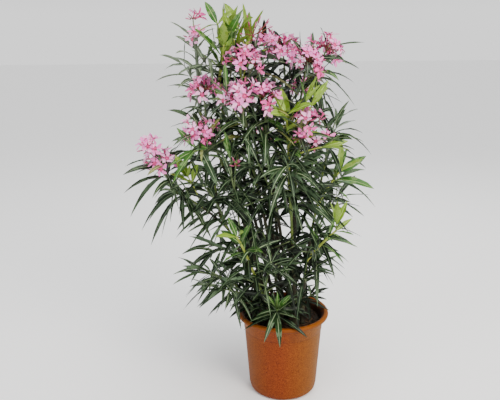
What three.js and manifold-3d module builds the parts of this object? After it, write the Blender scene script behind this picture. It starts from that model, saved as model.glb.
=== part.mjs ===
// A potted oleander in flower: a clump of slender woody canes standing in potting mix, in a
// tapered plastic pot with a rolled rim. Some canes fork into boughs, and canes and boughs carry
// shoots. A shoot is a green stem with side twigs, narrow leaves in whorls of three and, on the
// flowering ones, a cluster of five-lobed funnel flowers. Each shoot is one solid that keeps to
// the space nearer to its own stem than to any other.
//
// Millimetres. +Z is up, -Y is the front and +X the right. The origin is the centre of the
// pot's underside.
import * as THREE from "three";
import { mergeVertices } from "three/addons/utils/BufferGeometryUtils.js";
import Module from "manifold-3d";

const wasm = await Module();
wasm.setup();

// ---------------------------------------------------------------- driving dimensions
const GAP = 0.3; // air between touching pieces
const CORNER_SPACING = 0.001; // corners of a solid are further apart than this

const POT = {
  height: 277,
  rimRadius: 150, // outside of the rolled rim
  rimInnerRadius: 136,
  rimDepth: 15, // height of the roll
  collarDepth: 42, // thicker band from the top down
  collarStep: 1.2,
  wallTopRadius: 132,
  baseRadius: 111,
  baseCorner: 18, // rounding between wall and underside
  wall: 3.5,
  sides: 36,
};
const SOIL_TOP = 248;

const CANE = { footRadius: 6.4, tipRadius: 3.6, flare: 0.6, flareShare: 0.08, sides: 5, rings: 5 };
const BOUGH = { footRadius: 3.9, tipRadius: 3.2, flare: 0.15, flareShare: 0.15, sides: 5, rings: 3 };
const SHOOT = { footRadius: 3.6, tipRadius: 2.6, flare: 0, flareShare: 1, sides: 3, rings: 3 };
const TWIG = { footRadius: 2.9, tipRadius: 2.2, flare: 0, flareShare: 1, sides: 3, rings: 1 };
const RING_CROWDING = 1.4; // above 1 the rings of a stem lie closer near its foot

const LEAF = {
  length: 142,
  widthShare: 0.175, // width over length
  keelShare: 0.026, // depth of the keel under the blade, over length
  widest: 0.4, // where along the leaf it is widest
  testedAt: [0.35, 0.6, 0.8], // where its midrib is tested for room
};

// Each pair is the value at a stem's lowest whorl and at its tip.
const WHORL = {
  leaves: 3,
  spacing: 57, // along a stem, from its tip down
  mostStep: 0.3, // the spacing is at most this share of the stem
  topShare: 0.985, // where on its stem the last whorl is
  open: [92, 24], // degrees between stem and leaf
  sag: [0.3, 0.04], // droop of the leaf's tip, over its length
  size: [1, 0.78], // share of the full leaf length
  around: 14, // most that a leaf is off its place in the whorl, in degrees
  openSpread: 8, // most that it is off its opening, in degrees
  sagSpread: 0.3, // most that it is off its droop, as a share
  sizeSpread: 0.12, // and off its length
};

// Side twigs: where each leaves the shoot's stem, on which side, and its share of the shoot's length.
const SIDE_TWIGS = [
  { at: 0.3, side: -1, length: 0.5 },
  { at: 0.6, side: 1, length: 0.36 },
];
const TWIG_TURN = [65, 115]; // least and most degrees round from the shoot's heading
const TWIG_LEAN = [24, 40]; // least and most degrees further out than the shoot
const TWIG_MOST_LEAN = 80;
const TWIG_LENGTH_SPREAD = 0.15;
const LEAFY_FROM = { shoot: 0.18, twig: 0.6 }; // share of the stem below its lowest leaves

const FLOWER = { radius: 25, length: 50, lobes: 5, notch: 0.5, spread: 66, at: 0.97 };

// How a leaf gives way where it has no room: each try turns it further to one side and the
// other, closes it up towards the stem and keeps it shorter.
const CROWDING = { tries: 8, turn: 15, close: 0.075, shorten: 0.05 };

const STEM_CLEARANCE = 7; // from a leaf's midrib to any other shoot's stem
const PATH_STEPS = { shoot: 6, twig: 3 }; // straight pieces that stand for a stem in that test
const ROOT_VOLUME = 4; // mm3 that the root of a leaf or flower may share with its own shoot
const FIRST_SEED = 1009;
const SEED_STEP = 97;

// Canes stand on the potting mix, on their foot. Way is two angles: the plan angle that a limb
// leans towards, and its lean from the vertical. Bow is how much steeper it starts, and flatter
// it ends, than its lean.
const CANES = [
  { name: "cane_tall_left", foot: [-45, 5], way: [-170, 17], length: 720, bow: 6 },
  { name: "cane_crest_left", foot: [-22, 30], way: [-165, 14], length: 740, bow: 4 },
  { name: "cane_crest_right", foot: [8, 12], way: [180, 10], length: 745, bow: 3 },
  { name: "cane_middle", foot: [-4, -28], way: [-150, 12], length: 630, bow: 4 },
  { name: "cane_middle_right", foot: [26, -18], way: [-135, 11], length: 595, bow: 3 },
  { name: "cane_tall_right", foot: [46, 18], way: [-130, 5], length: 670, bow: 3 },
  { name: "cane_front_right", foot: [36, -56], way: [-110, 9], length: 485, bow: 4 },
  { name: "cane_left_arm", foot: [-62, -20], way: [-160, 21], length: 405, bow: 8 },
  { name: "cane_right_arm", foot: [68, 2], way: [-40, 7], length: 390, bow: 8 },
  { name: "cane_right_low", foot: [60, -42], way: [-85, 14], length: 240, bow: 8 },
  { name: "cane_front_left", foot: [-36, -66], way: [-140, 21], length: 190, bow: 6 },
  { name: "cane_low_left", foot: [-84, -30], way: [-150, 29], length: 165, bow: 10 },
  { name: "cane_back_left", foot: [-42, 54], way: [160, 17], length: 570, bow: 5 },
  { name: "cane_back_right", foot: [40, 58], way: [80, 7], length: 545, bow: 5 },
  { name: "cane_back_middle", foot: [0, 78], way: [160, 6], length: 675, bow: 4 },
  { name: "foot_sprout", foot: [-22, -96], way: [-100, 16], length: 55, bow: 6 },
];

// Boughs and shoots grow on a limb, at that share of its length. Blooms is how many flowers open
// at a shoot's tip, and young marks the soft new growth.
const BOUGHS = [
  { name: "bough_left_shoulder", on: ["cane_left_arm", 1], way: [-135, 13], length: 185, bow: 6 },
  { name: "bough_far_left", on: ["cane_left_arm", 0.86], way: [-175, 52], length: 215, bow: 10 },
  { name: "bough_top_right", on: ["cane_tall_right", 1], way: [-20, 43], length: 105, bow: 6 },
  { name: "bough_right_shoulder", on: ["cane_right_arm", 1], way: [-5, 9], length: 135, bow: 5 },
];

const SHOOTS = [
  { name: "crest_bloom_left", on: ["cane_tall_left", 1], way: [-110, 5], length: 210, bow: 4, blooms: 5 },
  { name: "crest_young_left", on: ["cane_crest_left", 1], way: [-45, 8], length: 178, bow: 6, young: true },
  { name: "crest_young_right", on: ["cane_crest_right", 1], way: [-70, 12], length: 160, bow: 6, young: true },
  { name: "upper_left_bloom", on: ["cane_middle", 1], way: [-104, 10], length: 227, bow: 4, blooms: 5 },
  { name: "centre_left_bloom", on: ["cane_middle", 0.8], way: [-108, 28], length: 280, bow: 10, blooms: 5 },
  { name: "centre_right_bloom", on: ["cane_middle_right", 1], way: [-97, 27], length: 178, bow: 6, blooms: 4 },
  { name: "upper_middle_bloom", on: ["cane_tall_right", 1], way: [-120, 8], length: 200, bow: 4, blooms: 4 },
  { name: "right_crown_bloom", on: ["bough_top_right", 0.6], way: [-83, 39], length: 151, bow: 8, blooms: 5 },
  { name: "far_right_crown_bloom", on: ["bough_top_right", 1], way: [0, 21], length: 134, bow: 8, blooms: 5 },
  { name: "right_shoulder_young", on: ["cane_front_right", 1], way: [-102, 14], length: 200, bow: 4, young: true },
  { name: "right_bloom", on: ["cane_front_right", 0.75], way: [-71, 16], length: 320, bow: 10, blooms: 4 },
  { name: "right_shoulder", on: ["bough_right_shoulder", 1], way: [-20, 12], length: 135, bow: 6 },
  { name: "left_shoulder_bloom", on: ["bough_left_shoulder", 1], way: [-116, 4], length: 178, bow: 6, blooms: 4 },
  { name: "left_arm_bloom", on: ["bough_left_shoulder", 0.6], way: [-111, 31], length: 180, bow: 10, blooms: 4 },
  { name: "far_left_bloom", on: ["bough_far_left", 1], way: [-149, 23], length: 104, bow: 8, blooms: 4 },
  { name: "far_left_under", on: ["bough_far_left", 0.75], way: [-140, 64], length: 52, bow: 10 },
  { name: "left_arm_inner", on: ["cane_left_arm", 0.88], way: [-134, 32], length: 181, bow: 12 },
  { name: "middle_left", on: ["cane_left_arm", 0.6], way: [-100, 26], length: 315, bow: 12 },
  { name: "middle_front", on: ["cane_middle_right", 0.62], way: [-115, 37], length: 250, bow: 10 },
  { name: "middle_right", on: ["cane_right_arm", 0.55], way: [-16, 24], length: 226, bow: 10 },
  { name: "right_arm_young", on: ["cane_right_arm", 1], way: [-38, 32], length: 142, bow: 8, young: true },
  { name: "right_low_young", on: ["cane_right_low", 1], way: [-32, 40], length: 150, bow: 6, young: true },
  { name: "right_low", on: ["cane_right_low", 0.6], way: [-40, 27], length: 75, bow: 14 },
  { name: "low_left_young", on: ["cane_front_left", 1], way: [-124, 31], length: 198, bow: 6, young: true },
  { name: "low_left", on: ["cane_low_left", 1], way: [-170, 64], length: 125, bow: 12 },
  { name: "low_left_droop", on: ["cane_low_left", 0.6], way: [-140, 58], length: 115, bow: 16 },
  { name: "foot_rosette", on: ["foot_sprout", 1], way: [-94, 27], length: 46, bow: 0 },
  { name: "low_front", on: ["cane_front_left", 0.6], way: [-80, 33], length: 190, bow: 10 },
  { name: "low_middle", on: ["cane_middle", 0.25], way: [-115, 29], length: 210, bow: 10 },
  { name: "back_crest", on: ["cane_back_middle", 1], way: [35, 4], length: 210, bow: 4, blooms: 3 },
  { name: "back_upper_left", on: ["cane_back_left", 1], way: [115, 16], length: 200, bow: 8, blooms: 3 },
  { name: "back_upper_right", on: ["cane_back_right", 1], way: [70, 15], length: 195, bow: 8, blooms: 3 },
  { name: "back_left", on: ["cane_back_left", 0.6], way: [135, 56], length: 220, bow: 12 },
  { name: "back_right", on: ["cane_back_right", 0.6], way: [50, 51], length: 205, bow: 12 },
  { name: "back_middle", on: ["cane_back_middle", 0.6], way: [100, 49], length: 230, bow: 12, blooms: 3 },
  { name: "back_low_left", on: ["cane_back_left", 0.3], way: [150, 80], length: 195, bow: 14 },
  { name: "back_low_right", on: ["cane_back_right", 0.3], way: [60, 71], length: 140, bow: 14 },
  { name: "back_low", on: ["cane_back_middle", 0.25], way: [110, 74], length: 165, bow: 14 },
];

const FINISH = {
  pot: { color: 0xb2562a, roughness: 0.55, metalness: 0 },
  soil: { color: 0x2b2019, roughness: 0.95, metalness: 0 },
  bark: { color: 0x6f6550, roughness: 0.85, metalness: 0 },
  leaf: { color: 0x3c5e35, roughness: 0.5, metalness: 0 },
  youngLeaf: { color: 0x8aad3c, roughness: 0.5, metalness: 0 },
  floweringLeaf: { color: 0x4c6b40, roughness: 0.5, metalness: 0 },
};

// ---------------------------------------------------------------- small helpers
const radians = THREE.MathUtils.degToRad;
const mix = THREE.MathUtils.lerp;
const between = ([low, high], random) => mix(low, high, random());
const spread = (amount, random) => mix(-amount, amount, random());
const UP = new THREE.Vector3(0, 0, 1);

// Park-Miller numbers in 0..1, the same on every run.
function seededRandom(seed) {
  let state = seed;
  return () => {
    state = (state * 16807) % 2147483647;
    return state / 2147483647;
  };
}

function direction(heading, lean) {
  const flat = new THREE.Vector3(Math.cos(radians(heading)), Math.sin(radians(heading)), 0);
  return flat.multiplyScalar(Math.sin(radians(lean))).addScaledVector(UP, Math.cos(radians(lean)));
}

// The centre line of a limb, which bows within the upright plane that it leans in.
function centreLine(start, { way: [heading, lean], length, bow }) {
  const reach = length / (2 * Math.cos(radians(bow)));
  const knee = start.clone().addScaledVector(direction(heading, lean - bow), reach);
  const end = start.clone().addScaledVector(direction(heading, lean), length);
  const curve = new THREE.QuadraticBezierCurve3(start, knee, end);
  const side = direction(heading + 90, 90);
  return { curve, side, length };
}

// Point, tangent and the two directions square to it, at a share of a centre line.
function frameAt({ curve, side }, share) {
  const tangent = curve.getTangent(share);
  return { point: curve.getPoint(share), tangent, side, front: side.clone().cross(tangent) };
}

// ---------------------------------------------------------------- solids and booleans
function solidFrom(geometry) {
  geometry.deleteAttribute("normal");
  geometry.deleteAttribute("uv");
  const merged = mergeVertices(geometry, 1e-4);
  return new wasm.Manifold(
    new wasm.Mesh({
      numProp: 3,
      vertProperties: new Float32Array(merged.attributes.position.array),
      triVerts: new Uint32Array(merged.index.array),
    }),
  );
}

// The largest body of a boolean's result: scraps go, and a sealed hollow is filled.
function largestBody(solid) {
  return solid.decompose().reduce((best, body) => (body.volume() > best.volume() ? body : best));
}

function cutClear(solid, cutters) {
  const touching = cutters.filter((cutter) => touches(solid, cutter));
  return touching.reduce((rest, cutter) => largestBody(rest.subtract(cutter)), solid);
}

function geometryFrom(solid) {
  const { vertProperties, triVerts, numProp } = solid.getMesh();
  const geometry = new THREE.BufferGeometry();
  geometry.setAttribute("position", new THREE.BufferAttribute(vertProperties, numProp));
  geometry.setIndex(new THREE.BufferAttribute(triVerts, 1));
  return geometry;
}

// False where a join has left two corners too close together to keep apart.
function isCleanlyJoined(solid) {
  const corners = solid.getMesh().vertProperties;
  const apart = (i, j) => Math.hypot(...[0, 1, 2].map((k) => corners[i + k] - corners[j + k]));
  for (let i = 0; i < corners.length; i += 3) {
    for (let j = 0; j < i; j += 3) {
      const isNear = Math.abs(corners[i] - corners[j]) < CORNER_SPACING;
      if (isNear && apart(i, j) < CORNER_SPACING) return false;
    }
  }
  return true;
}

function boxesMeet(a, b) {
  const [p, q] = [a.boundingBox(), b.boundingBox()];
  return [0, 1, 2].every((k) => p.min[k] <= q.max[k] && q.min[k] <= p.max[k]);
}

function touches(a, b) {
  return boxesMeet(a, b) && !a.intersect(b).isEmpty();
}

// ---------------------------------------------------------------- stems
function radiusAt(share, { footRadius, tipRadius, flare, flareShare }) {
  const swell = flare * Math.max(0, 1 - share / flareShare) ** 2;
  return mix(footRadius, tipRadius, share) * (1 + swell);
}

// A tapering stem along a centre line: an upright cylinder whose rings are moved onto the line.
// Clear grows it all round, which makes the cutter that keeps its neighbours off. A footHeight
// cuts its foot level at that height.
function stemGeometry(line, form, { clear = 0, footHeight = null } = {}) {
  const geometry = new THREE.CylinderGeometry(1, 1, 1, form.sides, form.rings);
  const position = geometry.getAttribute("position");
  for (let i = 0; i < position.count; i++) {
    const share = position.getY(i) + 0.5;
    const along = share ** RING_CROWDING;
    const { point, tangent, side, front } = frameAt(line, along);
    const radius = radiusAt(along, form) + clear;
    const end = share === 0 ? -clear : share === 1 ? clear : 0;
    point
      .addScaledVector(side, radius * position.getX(i))
      .addScaledVector(front, radius * position.getZ(i))
      .addScaledVector(tangent, end);
    if (share === 0 && footHeight !== null) point.z = footHeight;
    position.setXYZ(i, point.x, point.y, point.z);
  }
  return geometry;
}

// ---------------------------------------------------------------- leaves and flowers
// A narrow pointed blade: a sphere of two bands with three corners round its middle, stretched
// from root to tip. Two corners are the blade's edges and the third is the keel of its midrib.
// The droop keeps all three above the straight line from root to tip.
function leafGeometry(root, way, across, length, sag) {
  const face = way.clone().cross(across).normalize();
  const spine = (share) =>
    root
      .clone()
      .addScaledVector(way, length * share)
      .addScaledVector(UP, -sag * length * share * share);
  const geometry = new THREE.SphereGeometry(1, 3, 2);
  const position = geometry.getAttribute("position");
  for (let i = 0; i < position.count; i++) {
    const end = Math.round(position.getY(i)); // -1 at the root, 1 at the tip
    const point = spine(end === 0 ? LEAF.widest : (end + 1) / 2);
    const isKeel = position.getX(i) < -0.5;
    if (end === 0 && isKeel) point.addScaledVector(face, -LEAF.keelShare * length);
    if (end === 0 && !isKeel) {
      point.addScaledVector(across, (Math.sign(position.getZ(i)) * LEAF.widthShare * length) / 2);
    }
    position.setXYZ(i, point.x, point.y, point.z);
  }
  return { geometry, samples: LEAF.testedAt.map(spine) };
}

// A funnel flower: a cone with its point in the stem, its mouth cut into lobes by pulling in
// every other corner.
function flowerGeometry(root, way) {
  const geometry = new THREE.ConeGeometry(FLOWER.radius, FLOWER.length, 2 * FLOWER.lobes, 1);
  const position = geometry.getAttribute("position");
  for (let i = 0; i < position.count; i++) {
    const [x, z] = [position.getX(i), position.getZ(i)];
    const corner = Math.round(Math.atan2(x, z) / (Math.PI / FLOWER.lobes));
    const reach = corner % 2 === 0 ? 1 : FLOWER.notch;
    position.setX(i, x * reach);
    position.setZ(i, z * reach);
  }
  geometry.translate(0, -FLOWER.length / 2, 0);
  const turn = new THREE.Quaternion().setFromUnitVectors(new THREE.Vector3(0, -1, 0), way);
  geometry.applyQuaternion(turn).translate(root.x, root.y, root.z);
  const mouth = root.clone().addScaledVector(way, FLOWER.length);
  return { geometry, samples: [mouth] };
}

// ---------------------------------------------------------------- pot and potting mix
function lathe(profile, sides) {
  const points = profile.map(([radius, height]) => new THREE.Vector2(radius, height));
  return new THREE.LatheGeometry(points, sides).rotateX(Math.PI / 2);
}

function arcPoints(centre, radius, from, to, steps) {
  return Array.from({ length: steps + 1 }, (_, i) => {
    const angle = radians(mix(from, to, i / steps));
    return [centre[0] + radius * Math.cos(angle), centre[1] + radius * Math.sin(angle)];
  });
}

// Outer wall radius at a height, under the collar.
const wallRadius = (height) => mix(POT.baseRadius, POT.wallTopRadius, height / POT.height);

function potProfile() {
  const rimRound = POT.rimDepth / 2;
  const rimCentre = [POT.rimRadius - rimRound, POT.height - rimRound];
  const collarFoot = POT.height - POT.collarDepth;
  const rimFoot = POT.height - POT.rimDepth;
  const corner = [wallRadius(0) - POT.baseCorner, POT.baseCorner];
  return [
    [0, 0],
    ...arcPoints(corner, POT.baseCorner, -90, -5, 3),
    [wallRadius(collarFoot), collarFoot],
    [wallRadius(collarFoot) + POT.collarStep, collarFoot + POT.collarStep],
    [wallRadius(rimFoot) + POT.collarStep, rimFoot],
    ...arcPoints(rimCentre, rimRound, -90, 90, 4),
    [POT.rimInnerRadius, POT.height - 1],
    [wallRadius(rimFoot) - POT.wall, rimFoot],
    [wallRadius(POT.baseCorner) - POT.wall, POT.baseCorner],
    [corner[0], POT.wall],
    [0, POT.wall],
  ];
}

function soilProfile() {
  const inner = (height) => wallRadius(height) - POT.wall - GAP;
  const floor = POT.wall + GAP;
  return [
    [0, floor],
    [wallRadius(0) - POT.baseCorner, floor],
    [inner(POT.baseCorner + GAP), POT.baseCorner + GAP],
    [inner(SOIL_TOP) - GAP, SOIL_TOP],
    [0, SOIL_TOP],
  ];
}

// ---------------------------------------------------------------- the plant
const parts = [];
const limbLines = new Map();
const limbCutters = [];

const pointOn = ([name, share]) => limbLines.get(name).curve.getPoint(share);

function addLimb(spec, start, form, footHeight = null) {
  const line = centreLine(start, spec);
  const solid = cutClear(solidFrom(stemGeometry(line, form, { footHeight })), limbCutters);
  limbLines.set(spec.name, line);
  limbCutters.push(solidFrom(stemGeometry(line, form, { clear: GAP })));
  parts.push({ name: spec.name, solid, finish: FINISH.bark });
}

const footHeight = SOIL_TOP + GAP;
for (const cane of CANES) addLimb(cane, new THREE.Vector3(...cane.foot, footHeight), CANE, footHeight);
for (const bough of BOUGHS) addLimb(bough, pointOn(bough.on), BOUGH);

const shootLines = SHOOTS.map((shoot) => centreLine(pointOn(shoot.on), shoot));
const leafyPath = ({ curve }, steps) => curve.getPoints(steps).slice(1);
const shootPaths = shootLines.map((line) => leafyPath(line, PATH_STEPS.shoot));
const shootCutters = shootLines.map((line) => solidFrom(stemGeometry(line, SHOOT, { clear: GAP })));

function distanceToPath(point, path) {
  const nearest = new THREE.Vector3();
  const distances = path.slice(1).map((end, i) => {
    new THREE.Line3(path[i], end).closestPointToPoint(point, true, nearest);
    return nearest.distanceTo(point);
  });
  return Math.min(...distances);
}

// True where every point is nearer to the shoot's own stem than to any other shoot's.
function keepsToOwnSpace(points, own) {
  return points.every((point) => {
    const mine = distanceToPath(point, shootPaths[own]);
    return shootPaths.every((path, i) => {
      if (i === own) return true;
      const theirs = distanceToPath(point, path);
      return theirs > Math.max(mine, STEM_CLEARANCE);
    });
  });
}

// Side twigs leave the shoot's stem on alternate sides, leaning further out than it does.
function twigLines(shoot, line, random) {
  const [heading, lean] = shoot.way;
  return SIDE_TWIGS.map((twig) => {
    const length = shoot.length * twig.length * (1 + spread(TWIG_LENGTH_SPREAD, random));
    const turned = heading + twig.side * between(TWIG_TURN, random);
    const leant = Math.min(lean + between(TWIG_LEAN, random), TWIG_MOST_LEAN);
    return centreLine(line.curve.getPoint(twig.at), { way: [turned, leant], length, bow: 0 });
  });
}

// Leaves in whorls, each whorl turned against the one below: wide open and drooping low on the
// stem, upright at its tip. Each is a list of ways it may grow, best first, for where it has no
// room.
function* whorlLeaves(line, from, random) {
  const step = Math.min(WHORL.spacing / line.length, WHORL.mostStep);
  for (let w = 0; WHORL.topShare - w * step > from; w++) {
    const share = WHORL.topShare - w * step;
    const { point, tangent, side, front } = frameAt(line, share);
    const height = (share - from) / (WHORL.topShare - from);
    for (let k = 0; k < WHORL.leaves; k++) {
      const around = (180 * w + 360 * k) / WHORL.leaves + spread(WHORL.around, random);
      const open = mix(...WHORL.open, height) + spread(WHORL.openSpread, random);
      const sag = mix(...WHORL.sag, height) * (1 + spread(WHORL.sagSpread, random));
      const size = mix(...WHORL.size, height) * (1 + spread(WHORL.sizeSpread, random));
      yield Array.from({ length: CROWDING.tries }, (_, i) => {
        const angle = radians(around + CROWDING.turn * (i % 2 === 0 ? i : -i));
        const lift = radians(open * (1 - CROWDING.close * i));
        const out = side.clone().multiplyScalar(Math.cos(angle)).addScaledVector(front, Math.sin(angle));
        const across = tangent.clone().cross(out).normalize();
        const way = out.multiplyScalar(Math.sin(lift)).addScaledVector(tangent, Math.cos(lift));
        return leafGeometry(point, way, across, LEAF.length * size * (1 - CROWDING.shorten * i), sag);
      });
    }
  }
}

// Flowers open round the stem's tip, the first upright and the rest leaning out.
function* clusterFlowers(line, count) {
  const { point, tangent, side, front } = frameAt(line, FLOWER.at);
  for (let i = 0; i < count; i++) {
    const around = radians((360 / (count - 1)) * i);
    const open = radians(i === 0 ? 0 : FLOWER.spread);
    const way = tangent
      .clone()
      .multiplyScalar(Math.cos(open))
      .addScaledVector(side, Math.sin(open) * Math.cos(around))
      .addScaledVector(front, Math.sin(open) * Math.sin(around));
    yield flowerGeometry(point, way);
  }
}

// One shoot as one solid: stem, twigs, flowers and leaves fused, less those that would leave the
// shoot's own space, touch a limb or another shoot, or cross the leaves and flowers beside them.
function shootSolid(index, made) {
  const shoot = SHOOTS[index];
  const line = shootLines[index];
  const random = seededRandom(FIRST_SEED + SEED_STEP * index);
  const otherStems = shootCutters.filter((cutter, i) => i !== index);
  const obstacles = [...limbCutters, ...otherStems, ...potSolids, ...made];

  let fused = cutClear(solidFrom(stemGeometry(line, SHOOT)), limbCutters);
  const grow = (ways, sharedVolume) =>
    ways.some(({ geometry, samples }) => {
      const solid = solidFrom(geometry);
      const hasRoom =
        keepsToOwnSpace(samples, index) &&
        !obstacles.some((other) => touches(solid, other)) &&
        solid.intersect(fused).volume() < sharedVolume;
      const joined = hasRoom ? fused.add(solid) : null;
      if (!hasRoom || !isCleanlyJoined(joined)) return false;
      fused = joined;
      return true;
    });
  const stems = [{ line, from: LEAFY_FROM.shoot }];
  for (const twig of twigLines(shoot, line, random)) {
    const way = { geometry: stemGeometry(twig, TWIG), samples: leafyPath(twig, PATH_STEPS.twig) };
    if (grow([way], Infinity)) stems.push({ line: twig, from: LEAFY_FROM.twig });
  }
  for (const flower of clusterFlowers(line, shoot.blooms ?? 0)) grow([flower], ROOT_VOLUME);
  for (const stem of stems) {
    for (const ways of whorlLeaves(stem.line, stem.from, random)) grow(ways, ROOT_VOLUME);
  }
  return largestBody(fused);
}

// ---------------------------------------------------------------- assembly
const potSolid = solidFrom(lathe(potProfile(), POT.sides));
const soilSolid = solidFrom(lathe(soilProfile(), POT.sides));
parts.push({ name: "pot", solid: potSolid, finish: FINISH.pot });
parts.push({ name: "potting_mix", solid: soilSolid, finish: FINISH.soil });
const potSolids = [potSolid, soilSolid];

const shootSolids = [];
SHOOTS.forEach((shoot, index) => {
  const solid = shootSolid(index, shootSolids);
  shootSolids.push(solid);
  const finish = shoot.blooms ? FINISH.floweringLeaf : shoot.young ? FINISH.youngLeaf : FINISH.leaf;
  parts.push({ name: shoot.name, solid, finish });
});

const plant = new THREE.Group();
for (const { name, solid, finish } of parts) {
  const mesh = new THREE.Mesh(
    geometryFrom(solid),
    new THREE.MeshStandardMaterial({ ...finish, flatShading: true }),
  );
  mesh.name = name;
  plant.add(mesh);
}

export default plant;
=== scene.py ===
"""A potted oleander in flower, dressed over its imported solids.

The shrub is grown again here by the source's rule and carried to finer twigs: canes fork into
boughs, both carry shoots, and a shoot is a green stem with side twigs, narrow leaves in whorls of
three and, on the flowering ones, a cyme of five-petalled flowers and buds.

Sizes are in millimetres and become metres where a mesh is made. +Z is up, -Y the front and +X the
right; the origin is the centre of the pot's underside.
"""

import math
from collections import namedtuple

import bpy
import numpy as np
from mathutils import Matrix, Vector, noise


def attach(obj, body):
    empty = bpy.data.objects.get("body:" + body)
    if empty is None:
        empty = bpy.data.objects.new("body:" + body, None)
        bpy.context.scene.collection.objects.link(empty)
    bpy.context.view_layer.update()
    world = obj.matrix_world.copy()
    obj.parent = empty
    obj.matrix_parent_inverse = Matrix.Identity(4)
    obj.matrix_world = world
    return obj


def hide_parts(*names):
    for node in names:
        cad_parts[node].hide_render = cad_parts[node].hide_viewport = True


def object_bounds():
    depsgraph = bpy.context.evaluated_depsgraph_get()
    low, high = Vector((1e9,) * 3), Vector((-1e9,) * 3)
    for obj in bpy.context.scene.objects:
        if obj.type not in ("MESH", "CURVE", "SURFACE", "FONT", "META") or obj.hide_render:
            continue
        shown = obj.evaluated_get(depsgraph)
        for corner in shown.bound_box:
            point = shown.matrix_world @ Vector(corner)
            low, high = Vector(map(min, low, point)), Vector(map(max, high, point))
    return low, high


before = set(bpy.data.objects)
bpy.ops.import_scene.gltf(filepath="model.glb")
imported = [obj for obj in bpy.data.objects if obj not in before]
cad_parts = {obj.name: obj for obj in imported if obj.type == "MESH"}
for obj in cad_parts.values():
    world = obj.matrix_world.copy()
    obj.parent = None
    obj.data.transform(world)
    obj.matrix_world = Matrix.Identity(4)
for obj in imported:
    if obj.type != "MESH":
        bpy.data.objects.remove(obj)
cad_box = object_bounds()

METRES = 0.001

# ------------------------------------------------------------------ driving dimensions
POT_HEIGHT = 277
RIM_RADIUS = 150
RIM_INNER_RADIUS = 136
RIM_DEPTH = 15
COLLAR_DEPTH = 56
COLLAR_STEP = 1.2
WALL_TOP_RADIUS = 132
BASE_RADIUS = 111
BASE_CORNER = 18
WALL = 3.5
SOIL_TOP = 248
GAP = 0.3

Form = namedtuple("Form", "foot tip flare flare_share sides ring_spacing")
CANE = Form(6.4, 3.6, 0.6, 0.08, 14, 7)
BOUGH = Form(3.9, 3.2, 0.15, 0.15, 12, 7)
SHOOT = Form(3.6, 2.3, 0, 1, 8, 10)
YOUNG_SHOOT = Form(4.4, 3.0, 0, 1, 8, 10)
STOUT_SHOOT = Form(6.6, 4.2, 0, 1, 10, 9)
TWIG = Form(2.6, 1.7, 0, 1, 6, 12)

# Where a limb stands or what it grows on, the plan angle it leans towards and its lean from the
# vertical, its length, and how much steeper it starts, and flatter it ends, than its lean. Woody
# is the share of it that has turned to brown bark.
Limb = namedtuple("Limb", "name start way length bow woody")
CANES = [
    Limb("cane_tall_left", (-45, 5), (-170, 17), 720, 6, 0.75),
    Limb("cane_crest_left", (-22, 30), (-165, 14), 740, 4, 0.7),
    Limb("cane_crest_right", (8, 12), (180, 10), 745, 3, 0.75),
    Limb("cane_middle", (-4, -28), (-150, 12), 630, 4, 0.7),
    Limb("cane_middle_right", (26, -18), (-135, 11), 595, 3, 0.8),
    Limb("cane_tall_right", (46, 18), (-130, 5), 670, 3, 0.8),
    Limb("cane_front_right", (36, -56), (-110, 9), 485, 4, 0.6),
    Limb("cane_left_arm", (-62, -20), (-160, 21), 405, 8, 0.8),
    Limb("cane_right_arm", (68, 2), (-40, 7), 390, 8, 0.8),
    Limb("cane_right_low", (60, -42), (-85, 14), 240, 8, 0.8),
    Limb("cane_front_left", (-36, -66), (-140, 21), 190, 6, 0.6),
    Limb("cane_low_left", (-84, -30), (-150, 29), 165, 10, 0.7),
    Limb("cane_back_left", (-42, 54), (160, 17), 570, 5, 0.75),
    Limb("cane_back_right", (40, 58), (80, 7), 545, 5, 0.75),
    Limb("cane_back_middle", (0, 78), (160, 6), 675, 4, 0.7),
    Limb("foot_sprout", (-22, -96), (-100, 16), 55, 6, 0),
]
BOUGHS = [
    Limb("bough_left_shoulder", ("cane_left_arm", 1), (-135, 13), 185, 6, 0.4),
    Limb("bough_far_left", ("cane_left_arm", 0.86), (-175, 52), 215, 10, 0.5),
    Limb("bough_top_right", ("cane_tall_right", 1), (-20, 43), 105, 6, 0.4),
    Limb("bough_right_shoulder", ("cane_right_arm", 1), (-5, 9), 135, 5, 0.4),
]

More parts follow.
